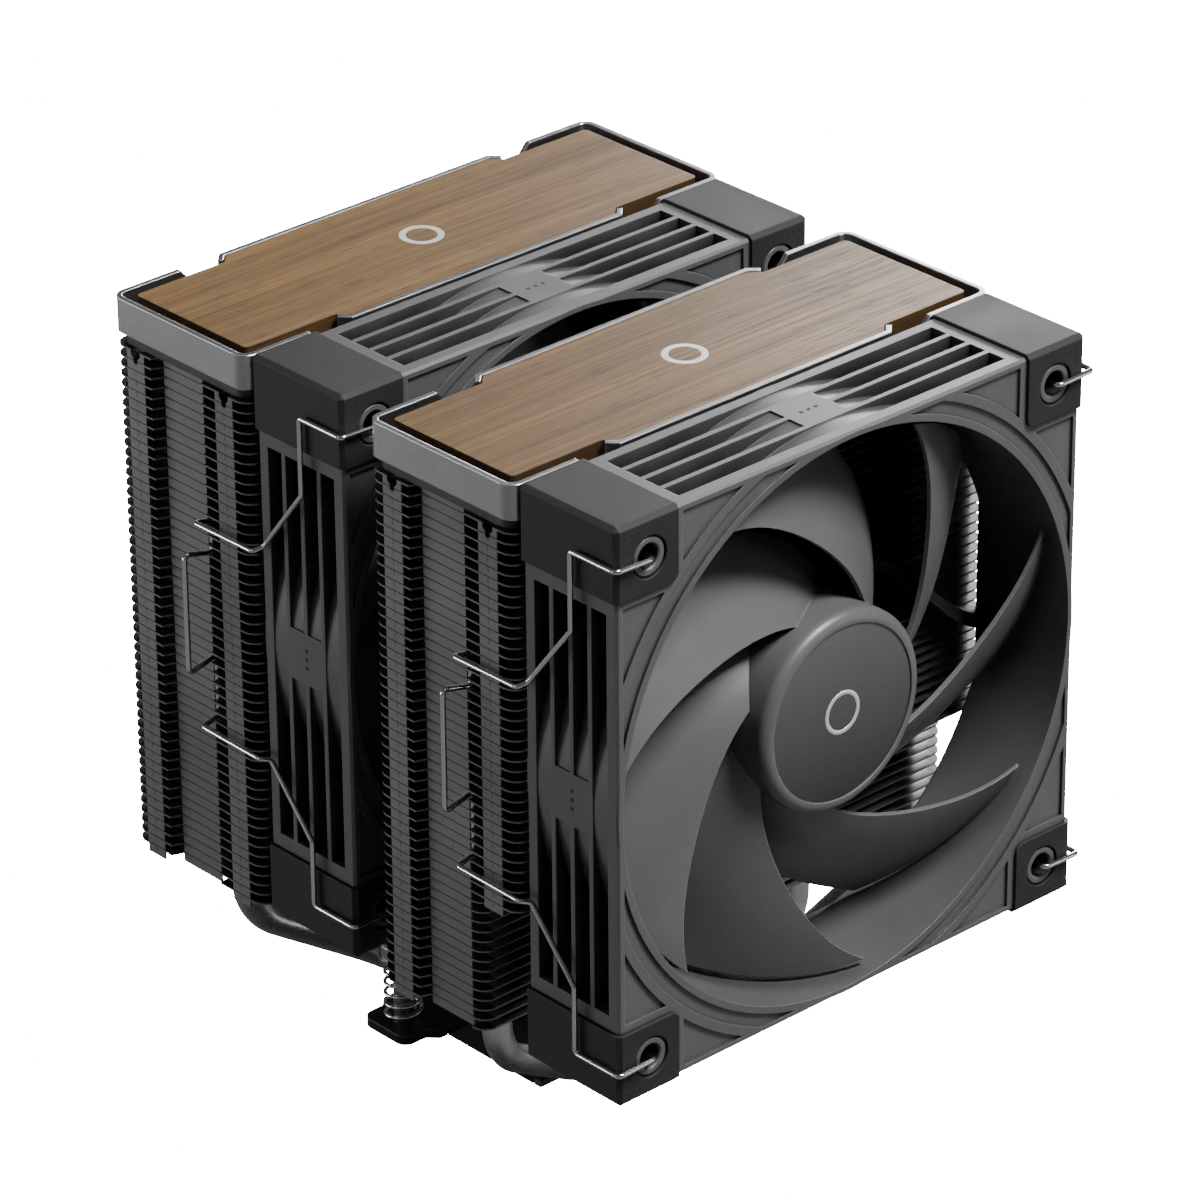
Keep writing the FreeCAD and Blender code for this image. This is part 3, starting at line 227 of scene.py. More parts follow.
class Effects:
    """The shader groups that several finishes share."""

    def __init__(self) -> None:
        """Build every group once."""
        self.edges = self.soft_edges()
        self.hollow_shade = self.painted_hollow_shade()
        self.moulded = self.moulded_grain()
        self.brushed = self.brushed_lines()
        self.speckle = self.dust_speckle()
        self.wood = self.wood_grain()
        self.tabs = self.fin_tabs()

    @staticmethod
    def soft_edges() -> bpy.types.NodeTree:
        """Rounded normals and a mask along sharp edges, by which finishes blend in their edge colour as
        painted highlight and wear.

        Returns:
            The group.
        """
        outputs = {"Mask": "Float", "Normal": "Vector"}
        tree, sockets, out = new_group("soft_edges", {"Radius": 0.0003}, outputs)
        bevel = tree.add("Bevel", {"Radius": sockets["Radius"]}, samples=4)
        flat = tree.add("NewGeometry").outputs["Normal"]
        pair = {0: bevel.outputs[0], 1: flat}
        same = tree.add("VectorMath", pair, operation="DOT_PRODUCT").outputs["Value"]
        tree.tree.links.new(tree.remap(same, 0.995, 0.8, 0.0, 1.0), out.inputs["Mask"])
        tree.tree.links.new(bevel.outputs[0], out.inputs["Normal"])
        return tree.tree

    @staticmethod
    def painted_hollow_shade() -> bpy.types.NodeTree:
        """A mask of how closed in a point is, for painted shade in slots and corners.

        Returns:
            The group.
        """
        tree, sockets, out = new_group("painted_hollow_shade", {"Reach": 0.006}, {"Mask": "Float"})
        reach = {"Distance": sockets["Reach"]}
        open_share = tree.add("AmbientOcclusion", reach, samples=6).outputs["AO"]
        tree.tree.links.new(tree.remap(open_share, 0.30, 0.80, 1.0, 0.0), out.inputs["Mask"])
        return tree.tree

    @staticmethod
    def moulded_grain() -> bpy.types.NodeTree:
        """The fine spark texture of moulded plastic and rubber, with slow cloudy variation.

        Returns:
            The group.
        """
        outputs = {"Value": "Float", "Height": "Float"}
        tree, sockets, out = new_group("moulded_grain", {"Scale": 4000.0}, outputs)
        place = tree.stretched((1.0, 1.0, 1.0))
        fine = tree.noise(place, sockets["Scale"])
        cloud = tree.noise(place, tree.math("MULTIPLY", sockets["Scale"], 0.012))
        both = tree.math("ADD", tree.math("MULTIPLY", fine, 0.45), tree.math("MULTIPLY", cloud, 0.55))
        tree.tree.links.new(both, out.inputs["Value"])
        tree.tree.links.new(fine, out.inputs["Height"])
        return tree.tree

    @staticmethod
    def brushed_lines() -> bpy.types.NodeTree:
        """Fine lines along X, as brushing and drawing leave on metal.

        Returns:
            The group.
        """
        outputs = {"Value": "Float", "Height": "Float"}
        tree, sockets, out = new_group("brushed_lines", {"Scale": 60.0}, outputs)
        lines = tree.noise(tree.stretched((1.0, 55.0, 55.0)), sockets["Scale"], 4.0)
        slow = tree.math("MULTIPLY", sockets["Scale"], 0.6)
        cloud = tree.noise(tree.stretched((1.0, 1.0, 1.0)), slow)
        both = tree.math("ADD", tree.math("MULTIPLY", lines, 0.7), tree.math("MULTIPLY", cloud, 0.3))
        tree.tree.links.new(both, out.inputs["Value"])
        tree.tree.links.new(lines, out.inputs["Height"])
        return tree.tree

    @staticmethod
    def dust_speckle() -> bpy.types.NodeTree:
        """Sparse pale specks, as dust and handling leave.

        Returns:
            The group.
        """
        inputs = {"Scale": 900.0, "Amount": 0.02}
        tree, sockets, out = new_group("dust_speckle", inputs, {"Mask": "Float"})
        values = {"Vector": tree.stretched((1.0, 1.0, 1.0)), "Scale": sockets["Scale"]}
        cells = tree.add("TexVoronoi", values).outputs["Distance"]
        patch = tree.noise(tree.stretched((1.0, 1.0, 1.0)), 90.0)
        near = tree.math("LESS_THAN", cells, tree.math("MULTIPLY", sockets["Amount"], 4.0))
        patches = tree.remap(patch, 0.5, 0.7, 0.0, 1.0)
        tree.tree.links.new(tree.math("MULTIPLY", near, patches), out.inputs["Mask"])
        return tree.tree

    @staticmethod
    def wood_grain() -> bpy.types.NodeTree:
        """Straight walnut grain along X: broad bands, fine streaks and short open pores.

        Returns:
            The group.
        """
        outputs = {"Bands": "Float", "Streaks": "Float", "Pores": "Float", "Height": "Float"}
        tree, sockets, out = new_group("wood_grain", {"Scale": 1.0}, outputs)
        scale = sockets["Scale"]
        warp = tree.noise(tree.stretched((6.0, 14.0, 14.0)), scale, 2.0)
        place = tree.add("TexCoord").outputs["Object"]
        shift = tree.add("CombineXYZ", {"Y": tree.math("MULTIPLY", warp, 0.010)}).outputs[0]
        bent = tree.add("VectorMath", {0: place, 1: shift}, operation="ADD").outputs[0]
        bands_at = tree.add("Mapping", {"Vector": bent, "Scale": (5.0, 150.0, 150.0)}).outputs[0]
        streaks_at = tree.add("Mapping", {"Vector": bent, "Scale": (16.0, 1100.0, 700.0)}).outputs[0]
        pores_at = tree.add("Mapping", {"Vector": bent, "Scale": (140.0, 2600.0, 2600.0)}).outputs[0]
        bands = tree.noise(bands_at, scale, 5.0)
        streaks = tree.noise(streaks_at, scale, 4.0)
        pores = tree.remap(tree.noise(pores_at, scale, 1.0), 0.60, 0.70, 0.0, 1.0)
        height = tree.math("SUBTRACT", tree.math("MULTIPLY", streaks, 0.5), pores)
        found = {"Bands": bands, "Streaks": streaks, "Pores": pores, "Height": height}
        for label, socket in found.items():
            tree.tree.links.new(socket, out.inputs[label])
        return tree.tree

    @staticmethod
    def fin_tabs() -> bpy.types.NodeTree:
        """Masks for folded fin tabs: the joints between them, and painted shade along the creased line
        up each strip.

        Returns:
            The group.
        """
        inputs = {"Pitch": 0.00215, "First Joint": 0.0, "Strip Offset": 0.0133, "Middle": 0.0,
                  "Strip Face": 0.0615, "Wall Face": 0.0590}
        tree, sockets, out = new_group("fin_tabs", inputs, {"Joint": "Float", "Crease_Shade": "Float"})
        place = tree.add("SeparateXYZ", {0: tree.add("TexCoord").outputs["Object"]})
        across = tree.math("ABSOLUTE", place.outputs["X"])
        depth = tree.math("ABSOLUTE", tree.math("SUBTRACT", place.outputs["Y"], sockets["Middle"]))
        above = tree.math("SUBTRACT", place.outputs["Z"], sockets["First Joint"])
        turns = tree.math("DIVIDE", above, sockets["Pitch"])
        phase = tree.math("FRACT", turns)
        near_joint = tree.math("LESS_THAN", tree.math("PINGPONG", phase, 0.5), 0.055)
        on_wall = tree.math("GREATER_THAN", across, sockets["Wall Face"])
        tree.tree.links.new(tree.math("MULTIPLY", near_joint, on_wall), out.inputs["Joint"])
        on_strip = tree.math("GREATER_THAN", across, sockets["Strip Face"])
        off_line = tree.math("ABSOLUTE", tree.math("SUBTRACT", depth, sockets["Strip Offset"]))
        on_line = tree.math("LESS_THAN", off_line, 0.00016)
        dash = tree.math("GREATER_THAN", phase, 0.45)
        crease_shade = tree.math("MULTIPLY", tree.math("MULTIPLY", on_line, on_strip), dash)
        tree.tree.links.new(crease_shade, out.inputs["Crease_Shade"])
        return tree.tree


# ---------------------------------------------------------------- finishes

class Texture(Enum):
    """Which fine texture a finish carries."""

    MOULDED = "moulded"
    BRUSHED = "brushed"


@dataclass(frozen=True)
class Finish:
    """A material with a fine texture, edges lightened as painted highlight and wear, a little dust, and
    for some finishes painted shade in slots and corners.
    """

    name: str
    slot: str
    colour: Colour
    edge_wear_and_highlight_colour: Colour
    metallic: float = 0.0
    smooth: float = 0.3
    rough: float = 0.5
    texture: Texture = Texture.MOULDED
    texture_scale: float = 4000.0
    bump: float = 0.1
    contrast: float = 0.25
    coat: float = 0.0
    edge_radius: float = 0.00025
    dust: float = 0.0
    specular: float = 0.5
    hollow_shade_reach: float = 0.0

    def base(self, tree: Tree, effects: Effects, value: bpy.types.NodeSocket) -> bpy.types.NodeSocket:
        """Return the finish's colour before edges and dust are added.

        Args:
            tree: The material's tree.
            effects: The shared shader groups; not used here.
            value: The fine texture's value.

        Returns:
            The colour.
        """
        dark = tuple(c * (1.0 - self.contrast) for c in self.colour)
        light = tuple(min(1.0, c * (1.0 + self.contrast)) for c in self.colour)
        return tree.blend(tree.remap(value, 0.3, 0.7, 0.0, 1.0), dark, light)

    def material(self, effects: Effects) -> bpy.types.Material:
        """Build the material.

        Args:
            effects: The shared shader groups.

        Returns:
            The finished material.
        """
        made, tree = empty_material(self.name)
        group = effects.moulded if self.texture is Texture.MOULDED else effects.brushed
        fine = tree.add("Group", node_tree=group)
        fine.inputs["Scale"].default_value = self.texture_scale
        colour = self.base(tree, effects, fine.outputs["Value"])
        roughness = tree.remap(fine.outputs["Value"], 0.3, 0.7, self.smooth, self.rough)
        bump = {"Height": fine.outputs["Height"], "Strength": self.bump, "Distance": 0.0001}
        if self.edge_radius > 0:
            edges = tree.add("Group", node_tree=effects.edges)
            edges.inputs["Radius"].default_value = self.edge_radius
            # Painted highlight and wear: sharp edges take the lighter edge colour.
            colour = tree.blend(edges.outputs["Mask"], colour, self.edge_wear_and_highlight_colour)
            bump["Normal"] = edges.outputs["Normal"]
        if self.dust > 0:
            specks = tree.add("Group", node_tree=effects.speckle)
            specks.inputs["Amount"].default_value = self.dust
            share = tree.math("MULTIPLY", specks.outputs["Mask"], DUST_SHARE)
            colour = tree.blend(share, colour, DUST_COLOUR)
        # Painted shade: slots and corners are darkened toward near black by how closed in they are.
        if self.hollow_shade_reach > 0:
            hollow_shade = tree.add("Group", node_tree=effects.hollow_shade)
            hollow_shade.inputs["Reach"].default_value = self.hollow_shade_reach
            share = tree.math("MULTIPLY", hollow_shade.outputs["Mask"], HOLLOW_SHADE_SHARE)
            colour = tree.blend(share, colour, HOLLOW_SHADE_COLOUR)
        shader = tree.add("BsdfPrincipled", {
            "Base Color": colour, "Roughness": roughness, "Metallic": self.metallic,
            "Specular IOR Level": self.specular, "Coat Weight": self.coat, "Coat Roughness": 0.12,
            "Normal": tree.add("Bump", bump).outputs[0]})
        tree.add("OutputMaterial", {"Surface": shader.outputs[0]})
        return made


@dataclass(frozen=True)
class FinFinish(Finish):
    """The coated fins: darker at the joints of the folded tabs, with painted shade as a dashed dark line
    up each creased strip.
    """

    tower: str = "front"
    pitch: float = 0.00215
    flange_drop: float = 0.001725
    strip_inset: float = 0.0067

    def base(self, tree: Tree, effects: Effects, value: bpy.types.NodeSocket) -> bpy.types.NodeSocket:
        """Return the coating's colour with the tab joints and the painted shade of the creased lines
        drawn in.

        Args:
            tree: The material's tree.
            effects: The shared shader groups.
            value: The fine texture's value.

        Returns:
            The colour.
        """
        low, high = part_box(self.tower + "_fin_stack")
        tabs = tree.add("Group", node_tree=effects.tabs)
        first_plate = low.z + self.flange_drop - PLATE_OFFSET
        tabs.inputs["Pitch"].default_value = self.pitch
        tabs.inputs["First Joint"].default_value = first_plate - self.flange_drop
        tabs.inputs["Middle"].default_value = (low.y + high.y) / 2
        tabs.inputs["Strip Offset"].default_value = (high.y - low.y) / 2 - self.strip_inset
        tabs.inputs["Strip Face"].default_value = high.x - 0.0005
        tabs.inputs["Wall Face"].default_value = high.x - 0.0030
        plain = super().base(tree, effects, value)
        joint = tree.math("MULTIPLY", tabs.outputs["Joint"], JOINT_SHARE)
        # Painted shade along each strip's creased line.
        crease_shade = tree.math("MULTIPLY", tabs.outputs["Crease_Shade"], CREASE_SHADE_SHARE)
        return tree.blend(crease_shade, tree.blend(joint, plain, JOINT_COLOUR), CREASE_SHADE_COLOUR)


@dataclass(frozen=True)
class CapPaintedShadeFinish(Finish):
    """The glossy hub disc with a painted reflection: full colour at its top, darkened by painted shade
    toward its lower edge.
    """

    tower: str = "front"
    painted_fade: float = 0.88

    def base(self, tree: Tree, effects: Effects, value: bpy.types.NodeSocket) -> bpy.types.NodeSocket:
        """Return the disc's colour with painted shade, fading from its top to its lower edge.

        Args:
            tree: The material's tree.
            effects: The shared shader groups.
            value: The fine texture's value.

        Returns:
            The colour.
        """
        low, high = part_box(self.tower + "_hub_cap")
        up = tree.add("SeparateXYZ", {0: tree.add("TexCoord").outputs["Object"]}).outputs["Z"]
        # Painted reflection and shade: the colour fades from full at the top to dark at the lower edge.
        shaded_foot = tuple(c * (1.0 - self.painted_fade) for c in self.colour)
        height = tree.remap(up, low.z, high.z, 0.0, 1.0)
        return tree.blend(height, shaded_foot, super().base(tree, effects, value))


@dataclass(frozen=True)
class WalnutFinish(Finish):
    """Oiled walnut with its grain along the panel, and painted shade on its upright sides."""

    dark: Colour = (0.022, 0.0112, 0.0048)
    light: Colour = (0.180, 0.104, 0.042)
    pore_depth: float = 0.00015
    ground: float = 0.42

    def material(self, effects: Effects) -> bpy.types.Material:
        """Build the wood from bands, streaks and pores, and paint shade on its upright sides.

        Args:
            effects: The shared shader groups.

        Returns:
            The finished material.
        """
        made, tree = empty_material(self.name)
        grain = tree.add("Group", node_tree=effects.wood)
        bands = tree.remap(grain.outputs["Bands"], 0.32, 0.68, 0.0, 1.0)
        streaks = tree.remap(grain.outputs["Streaks"], 0.36, 0.66, 0.0, 1.0)
        body = tree.blend(bands, self.dark_mid(), self.light)
        lined = tree.blend(tree.math("MULTIPLY", streaks, 0.55), body, self.dark)
        pored = tree.blend(tree.math("MULTIPLY", grain.outputs["Pores"], 0.7), lined, self.dark)
        # Painted shade: faces that do not face up are blended toward the dark wood colour.
        facing = tree.add("SeparateXYZ", {0: tree.add("NewGeometry").outputs["Normal"]}).outputs["Z"]
        shade = tree.remap(facing, 0.2, 0.7, 1.0, 0.0)
        painted_side_shade_colour = tree.blend(tree.math("MULTIPLY", shade, 0.7), pored, self.dark)
        edges = tree.add("Group", node_tree=effects.edges)
        edges.inputs["Radius"].default_value = self.edge_radius
        bump = tree.add("Bump", {
            "Height": grain.outputs["Height"], "Strength": self.bump,
            "Distance": self.pore_depth, "Normal": edges.outputs["Normal"]})
        roughness = tree.remap(grain.outputs["Streaks"], 0.3, 0.7, self.smooth, self.rough)
        shader = tree.add("BsdfPrincipled", {
            "Base Color": painted_side_shade_colour, "Roughness": roughness, "Specular IOR Level": 0.24,
            "Coat Weight": self.coat, "Coat Roughness": 0.35, "Normal": bump.outputs[0]})
        tree.add("OutputMaterial", {"Surface": shader.outputs[0]})
        return made

    def dark_mid(self) -> Colour:
        """Return the ground colour, which lies between the dark and the light wood."""
        return tuple(d + (p - d) * self.ground for d, p in zip(self.dark, self.light))


def finishes() -> dict[str, Finish]:
    """List every finish of the cooler.

    Returns:
        The finishes by the short names that the sub-assemblies use.
    """
    brushed = Texture.BRUSHED
    listed = {
        "nickel_plate": Finish("nickel_plate", "nickel_plate",
            colour=(0.6, 0.59, 0.57), edge_wear_and_highlight_colour=(0.8, 0.8, 0.78), metallic=1.0, smooth=0.14,
            rough=0.3, texture=brushed, texture_scale=90.0, bump=0.12, contrast=0.08),
        "nickel_pipe": Finish("nickel_pipe", "nickel_pipe",
            colour=(0.52, 0.515, 0.5), edge_wear_and_highlight_colour=(0.6, 0.6, 0.6), metallic=0.82, smooth=0.24,
            rough=0.36, texture_scale=260.0, bump=0.01, contrast=0.06, edge_radius=0.0),
        "black_metal": Finish("black_metal", "black_metal",
            colour=(0.02, 0.02, 0.021), edge_wear_and_highlight_colour=(0.16, 0.16, 0.16), metallic=0.55, smooth=0.28,
            rough=0.42, texture_scale=3000.0, bump=0.06, contrast=0.15, dust=0.01),
        "steel": Finish("machined_steel", "steel",
            colour=(0.36, 0.36, 0.37), edge_wear_and_highlight_colour=(0.7, 0.7, 0.7), metallic=1.0, smooth=0.22,
            rough=0.38, texture=brushed, texture_scale=120.0, bump=0.08, contrast=0.1,
            edge_radius=0.00012),
        "spring": Finish("spring_wire", "spring_steel",
            colour=(0.55, 0.55, 0.56), edge_wear_and_highlight_colour=(0.8, 0.8, 0.8), metallic=1.0, smooth=0.14,
            rough=0.26, texture=brushed, texture_scale=200.0, bump=0.05, contrast=0.08,
            edge_radius=0.0),
        "clip": Finish("clip_wire", "clip_steel",
            colour=(0.58, 0.58, 0.59), edge_wear_and_highlight_colour=(0.8, 0.8, 0.8), metallic=1.0, smooth=0.1,
            rough=0.24, texture=brushed, texture_scale=150.0, bump=0.04, contrast=0.08,
            edge_radius=0.0),
        "cover_base": Finish("cover_moulding", "dark_plastic",
            colour=(0.018, 0.018, 0.019), edge_wear_and_highlight_colour=(0.05, 0.05, 0.05), metallic=0.0, smooth=0.42,
            rough=0.6, bump=0.15, dust=0.01),
        "tray": Finish("satin_tray", "satin_metal",
            colour=(0.4, 0.4, 0.405), edge_wear_and_highlight_colour=(0.86, 0.86, 0.87), metallic=1.0, smooth=0.27,
            rough=0.4, texture=brushed, texture_scale=70.0, bump=0.05, contrast=0.07,
            edge_radius=0.0004),
        "walnut": WalnutFinish("oiled_walnut", "walnut",
            colour=(0.3, 0.19, 0.12), edge_wear_and_highlight_colour=(0.3, 0.2, 0.1), smooth=0.38, rough=0.55,
            bump=0.35, coat=0.04, edge_radius=0.0003),
        "badge": Finish("inlay_metal", "badge_metal",
            colour=(0.66, 0.65, 0.62), edge_wear_and_highlight_colour=(0.8, 0.8, 0.78), metallic=0.55, smooth=0.34,
            rough=0.48, texture=brushed, texture_scale=120.0, bump=0.05, contrast=0.08,
            edge_radius=0.0),
        "frame": Finish("frame_moulding", "frame_plastic",
            colour=(0.07, 0.07, 0.071), edge_wear_and_highlight_colour=(0.15, 0.15, 0.152), metallic=0.0, smooth=0.36,
            rough=0.5, bump=0.12, contrast=0.12, dust=0.006, hollow_shade_reach=0.007),
        "pad": Finish("pad_rubber", "pad_rubber",
            colour=(0.016, 0.016, 0.016), edge_wear_and_highlight_colour=(0.044, 0.044, 0.045), metallic=0.0,
            smooth=0.5, rough=0.68, texture_scale=5500.0, bump=0.2, contrast=0.18,
            edge_radius=0.0004, dust=0.008, specular=0.25),
        "rotor": Finish("rotor_moulding", "rotor_plastic",
            colour=(0.082, 0.082, 0.084), edge_wear_and_highlight_colour=(0.26, 0.26, 0.265), metallic=0.0,
            smooth=0.32, rough=0.46, texture_scale=5000.0, bump=0.14, contrast=0.12,
            edge_radius=0.0002, dust=0.006),
        "cap": CapPaintedShadeFinish("cap_disc_painted_shade", "cap_plastic",
            colour=(0.075, 0.075, 0.077), edge_wear_and_highlight_colour=(0.1, 0.1, 0.1), metallic=0.0, smooth=0.16,
            rough=0.24, texture_scale=2500.0, bump=0.01, contrast=0.1, coat=0.3, edge_radius=0.0001),
        "board": Finish("circuit_board", "board",
            colour=(0.012, 0.07, 0.03), edge_wear_and_highlight_colour=(0.3, 0.3, 0.1), metallic=0.0, smooth=0.25,
            rough=0.45, texture_scale=700.0, bump=0.2, contrast=0.5, edge_radius=0.0001),
        "lamination": Finish("core_sheets", "lamination",
            colour=(0.2, 0.2, 0.205), edge_wear_and_highlight_colour=(0.4, 0.4, 0.4), metallic=1.0, smooth=0.35,
            rough=0.55, texture=brushed, texture_scale=140.0, bump=0.2, contrast=0.2,
            edge_radius=0.0001),
        "copper": Finish("copper_winding", "copper",
            colour=(0.58, 0.22, 0.08), edge_wear_and_highlight_colour=(0.7, 0.35, 0.15), metallic=1.0, smooth=0.24,
            rough=0.4, texture=brushed, texture_scale=260.0, bump=0.5, contrast=0.3,
            edge_radius=0.0001),
        "bronze": Finish("sintered_bronze", "bronze",
            colour=(0.42, 0.27, 0.12), edge_wear_and_highlight_colour=(0.6, 0.42, 0.2), metallic=1.0, smooth=0.4,
            rough=0.6, texture_scale=3500.0, bump=0.3, contrast=0.25, edge_radius=0.0001),
        "magnet": Finish("bonded_magnet", "magnet",
            colour=(0.05, 0.05, 0.052), edge_wear_and_highlight_colour=(0.1, 0.1, 0.1), metallic=0.2, smooth=0.5,
            rough=0.7, texture_scale=2500.0, bump=0.25, contrast=0.3, edge_radius=0.0001),
        "label": Finish("plain_label", "frame_plastic",
            colour=(0.16, 0.16, 0.165), edge_wear_and_highlight_colour=(0.25, 0.25, 0.25), metallic=0.3, smooth=0.3,
            rough=0.42, texture_scale=1800.0, bump=0.03, contrast=0.06, edge_radius=0.0),
        # Painted shadow and painted glint for the small tiles on the pads and the frame sides.
        "shadow": Finish("tile_painted_shadow", "pad_rubber",
            colour=(0.004, 0.004, 0.004), edge_wear_and_highlight_colour=(0.01, 0.01, 0.01), metallic=0.0, smooth=0.7,
            rough=0.85, texture_scale=5000.0, bump=0.1, edge_radius=0.0),
        "glint": Finish("tile_painted_glint", "pad_rubber",
            colour=(0.2, 0.2, 0.202), edge_wear_and_highlight_colour=(0.2, 0.2, 0.2), metallic=0.0, smooth=0.45,
            rough=0.6, texture_scale=5000.0, bump=0.1, edge_radius=0.0),
    }
    for tower in ("front", "rear"):
        listed[tower + "_fins"] = FinFinish(tower + "_fin_coating", "fin_black",
            colour=(0.17, 0.17, 0.172), edge_wear_and_highlight_colour=(0.3, 0.3, 0.3), metallic=0.7, smooth=0.34,
            rough=0.5, texture_scale=2500.0, bump=0.05, contrast=0.12, edge_radius=0.0, tower=tower)
    return listed


class Palette:
    """Makes each finish's material the first time a piece asks for it."""

    def __init__(self) -> None:
        """Build the shared effects and list the finishes."""
        self.effects = Effects()
        self.listed = finishes()
        self.made: dict[str, bpy.types.Material] = {}

    def material(self, name: str) -> bpy.types.Material:
        """Return the material of a finish, by the finish's short name."""
        if name not in self.made:
            self.made[name] = self.listed[name].material(self.effects)
        return self.made[name]

    def dress(self, piece: bpy.types.Object, *names: str) -> None:
        """Give a piece its finishes.

        Args:
            piece: The piece or CAD node.
            names: The finishes' short names, one per material index.
        """
        piece.data.materials.clear()
        for name in names:
            piece.data.materials.append(self.material(name))
        log.info("%s: %s", piece.name, ", ".join(names))


# ---------------------------------------------------------------- mesh helpers

def new_piece(name: str, mesh: bmesh.types.BMesh, body: str, smooth: bool = True) -> bpy.types.Object:
    """Turn a bmesh into a named piece that rides on a body.

    Args:
        name: The piece's name.
        mesh: Its shape in the row frame.
        body: The CAD body it moves with.
        smooth: Whether its faces are shaded smooth.

    Returns:
        The new object.
    """
    data = bpy.data.meshes.new(name)
    bmesh.ops.recalc_face_normals(mesh, faces=mesh.faces)
    for face in mesh.faces:
        face.smooth = smooth
    mesh.to_mesh(data)
    mesh.free()
    piece = bpy.data.objects.new(name, data)
    bpy.context.scene.collection.objects.link(piece)
    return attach(piece, body)


def add_lathe(mesh: bmesh.types.BMesh, profile: Profile, centre: Vector, steps: int = 48) -> None:
    """Add a closed ring or disc turned about the Y axis.

    Args:
        mesh: The bmesh to add to.
        profile: Points (radius, y) of the closed section, in metres.
        centre: The axis point that y is measured from.
        steps: How many facets go round.
    """
    rings = []
    for radius, y in profile:
        ring = []
        for i in range(steps):
            angle = math.tau * i / steps
            spoke = Vector((radius * math.cos(angle), y, radius * math.sin(angle)))
            ring.append(mesh.verts.new(centre + spoke))
        rings.append(ring)
    for first, second in zip(rings, rings[1:] + rings[:1]):
        for i in range(steps):
            j = (i + 1) % steps
            mesh.faces.new((first[i], first[j], second[j], second[i]))


def add_tile(mesh: bmesh.types.BMesh, middle: Vector, across: Vector, up: Vector, out: Vector,
             index: int) -> None:
    """Add a thin bevelled tile standing on a face.

    Args:
        mesh: The bmesh to add to.
        middle: The tile's middle, on the face.
        across: Half the tile's width, as a vector.
        up: Half the tile's height, as a vector.
        out: How far it stands out, as a vector.
        index: Its material index.
    """
    low = [mesh.verts.new(middle + across * a + up * b) for a, b in CORNERS]
    high = [mesh.verts.new(middle + (across * a + up * b) * TILE_TAPER + out) for a, b in CORNERS]
    faces = [mesh.faces.new(high), mesh.faces.new(low[::-1])]
    for i in range(4):
        j = (i + 1) % 4
        faces.append(mesh.faces.new((low[i], low[j], high[j], high[i])))
    for face in faces:
        face.material_index = index


# ---------------------------------------------------------------- sub-assemblies

@dataclass
class Base:
    """The cold plate, pipe block, its cover, the mounting bar, the screws and the heat pipes."""

    palette: Palette
    pipes: int = 6

    def dress(self) -> None:
        """Give the base's CAD nodes their finishes."""
        worn = {"cold_plate": "nickel_plate", "pipe_block": "black_metal", "block_cover": "black_metal",
                "mounting_bar": "black_metal", "bar_screws": "steel"}
        for i in range(self.pipes):
            worn["heat_pipe_{}".format(i + 1)] = "nickel_pipe"
        for side in SIDES:
            worn[side + "_spring_screw"] = "steel"
            worn[side + "_retaining_ring"] = "steel"
            worn[side + "_screw_spring"] = "spring"
        for node, name in worn.items():
            self.palette.dress(frame["nodes"][node], name)


@dataclass
class Tower:
    """One fin stack with its cover."""

    name: str
    palette: Palette

    def dress(self) -> None:
        """Give the tower's CAD nodes their finishes."""
        worn = {"fin_stack": self.name + "_fins", "cover_base": "cover_base", "cover_tray": "tray",
                "wood_panel": "walnut", "panel_badge": "badge"}
        for part, name in worn.items():
            self.palette.dress(frame["nodes"]["{}_{}".format(self.name, part)], name)


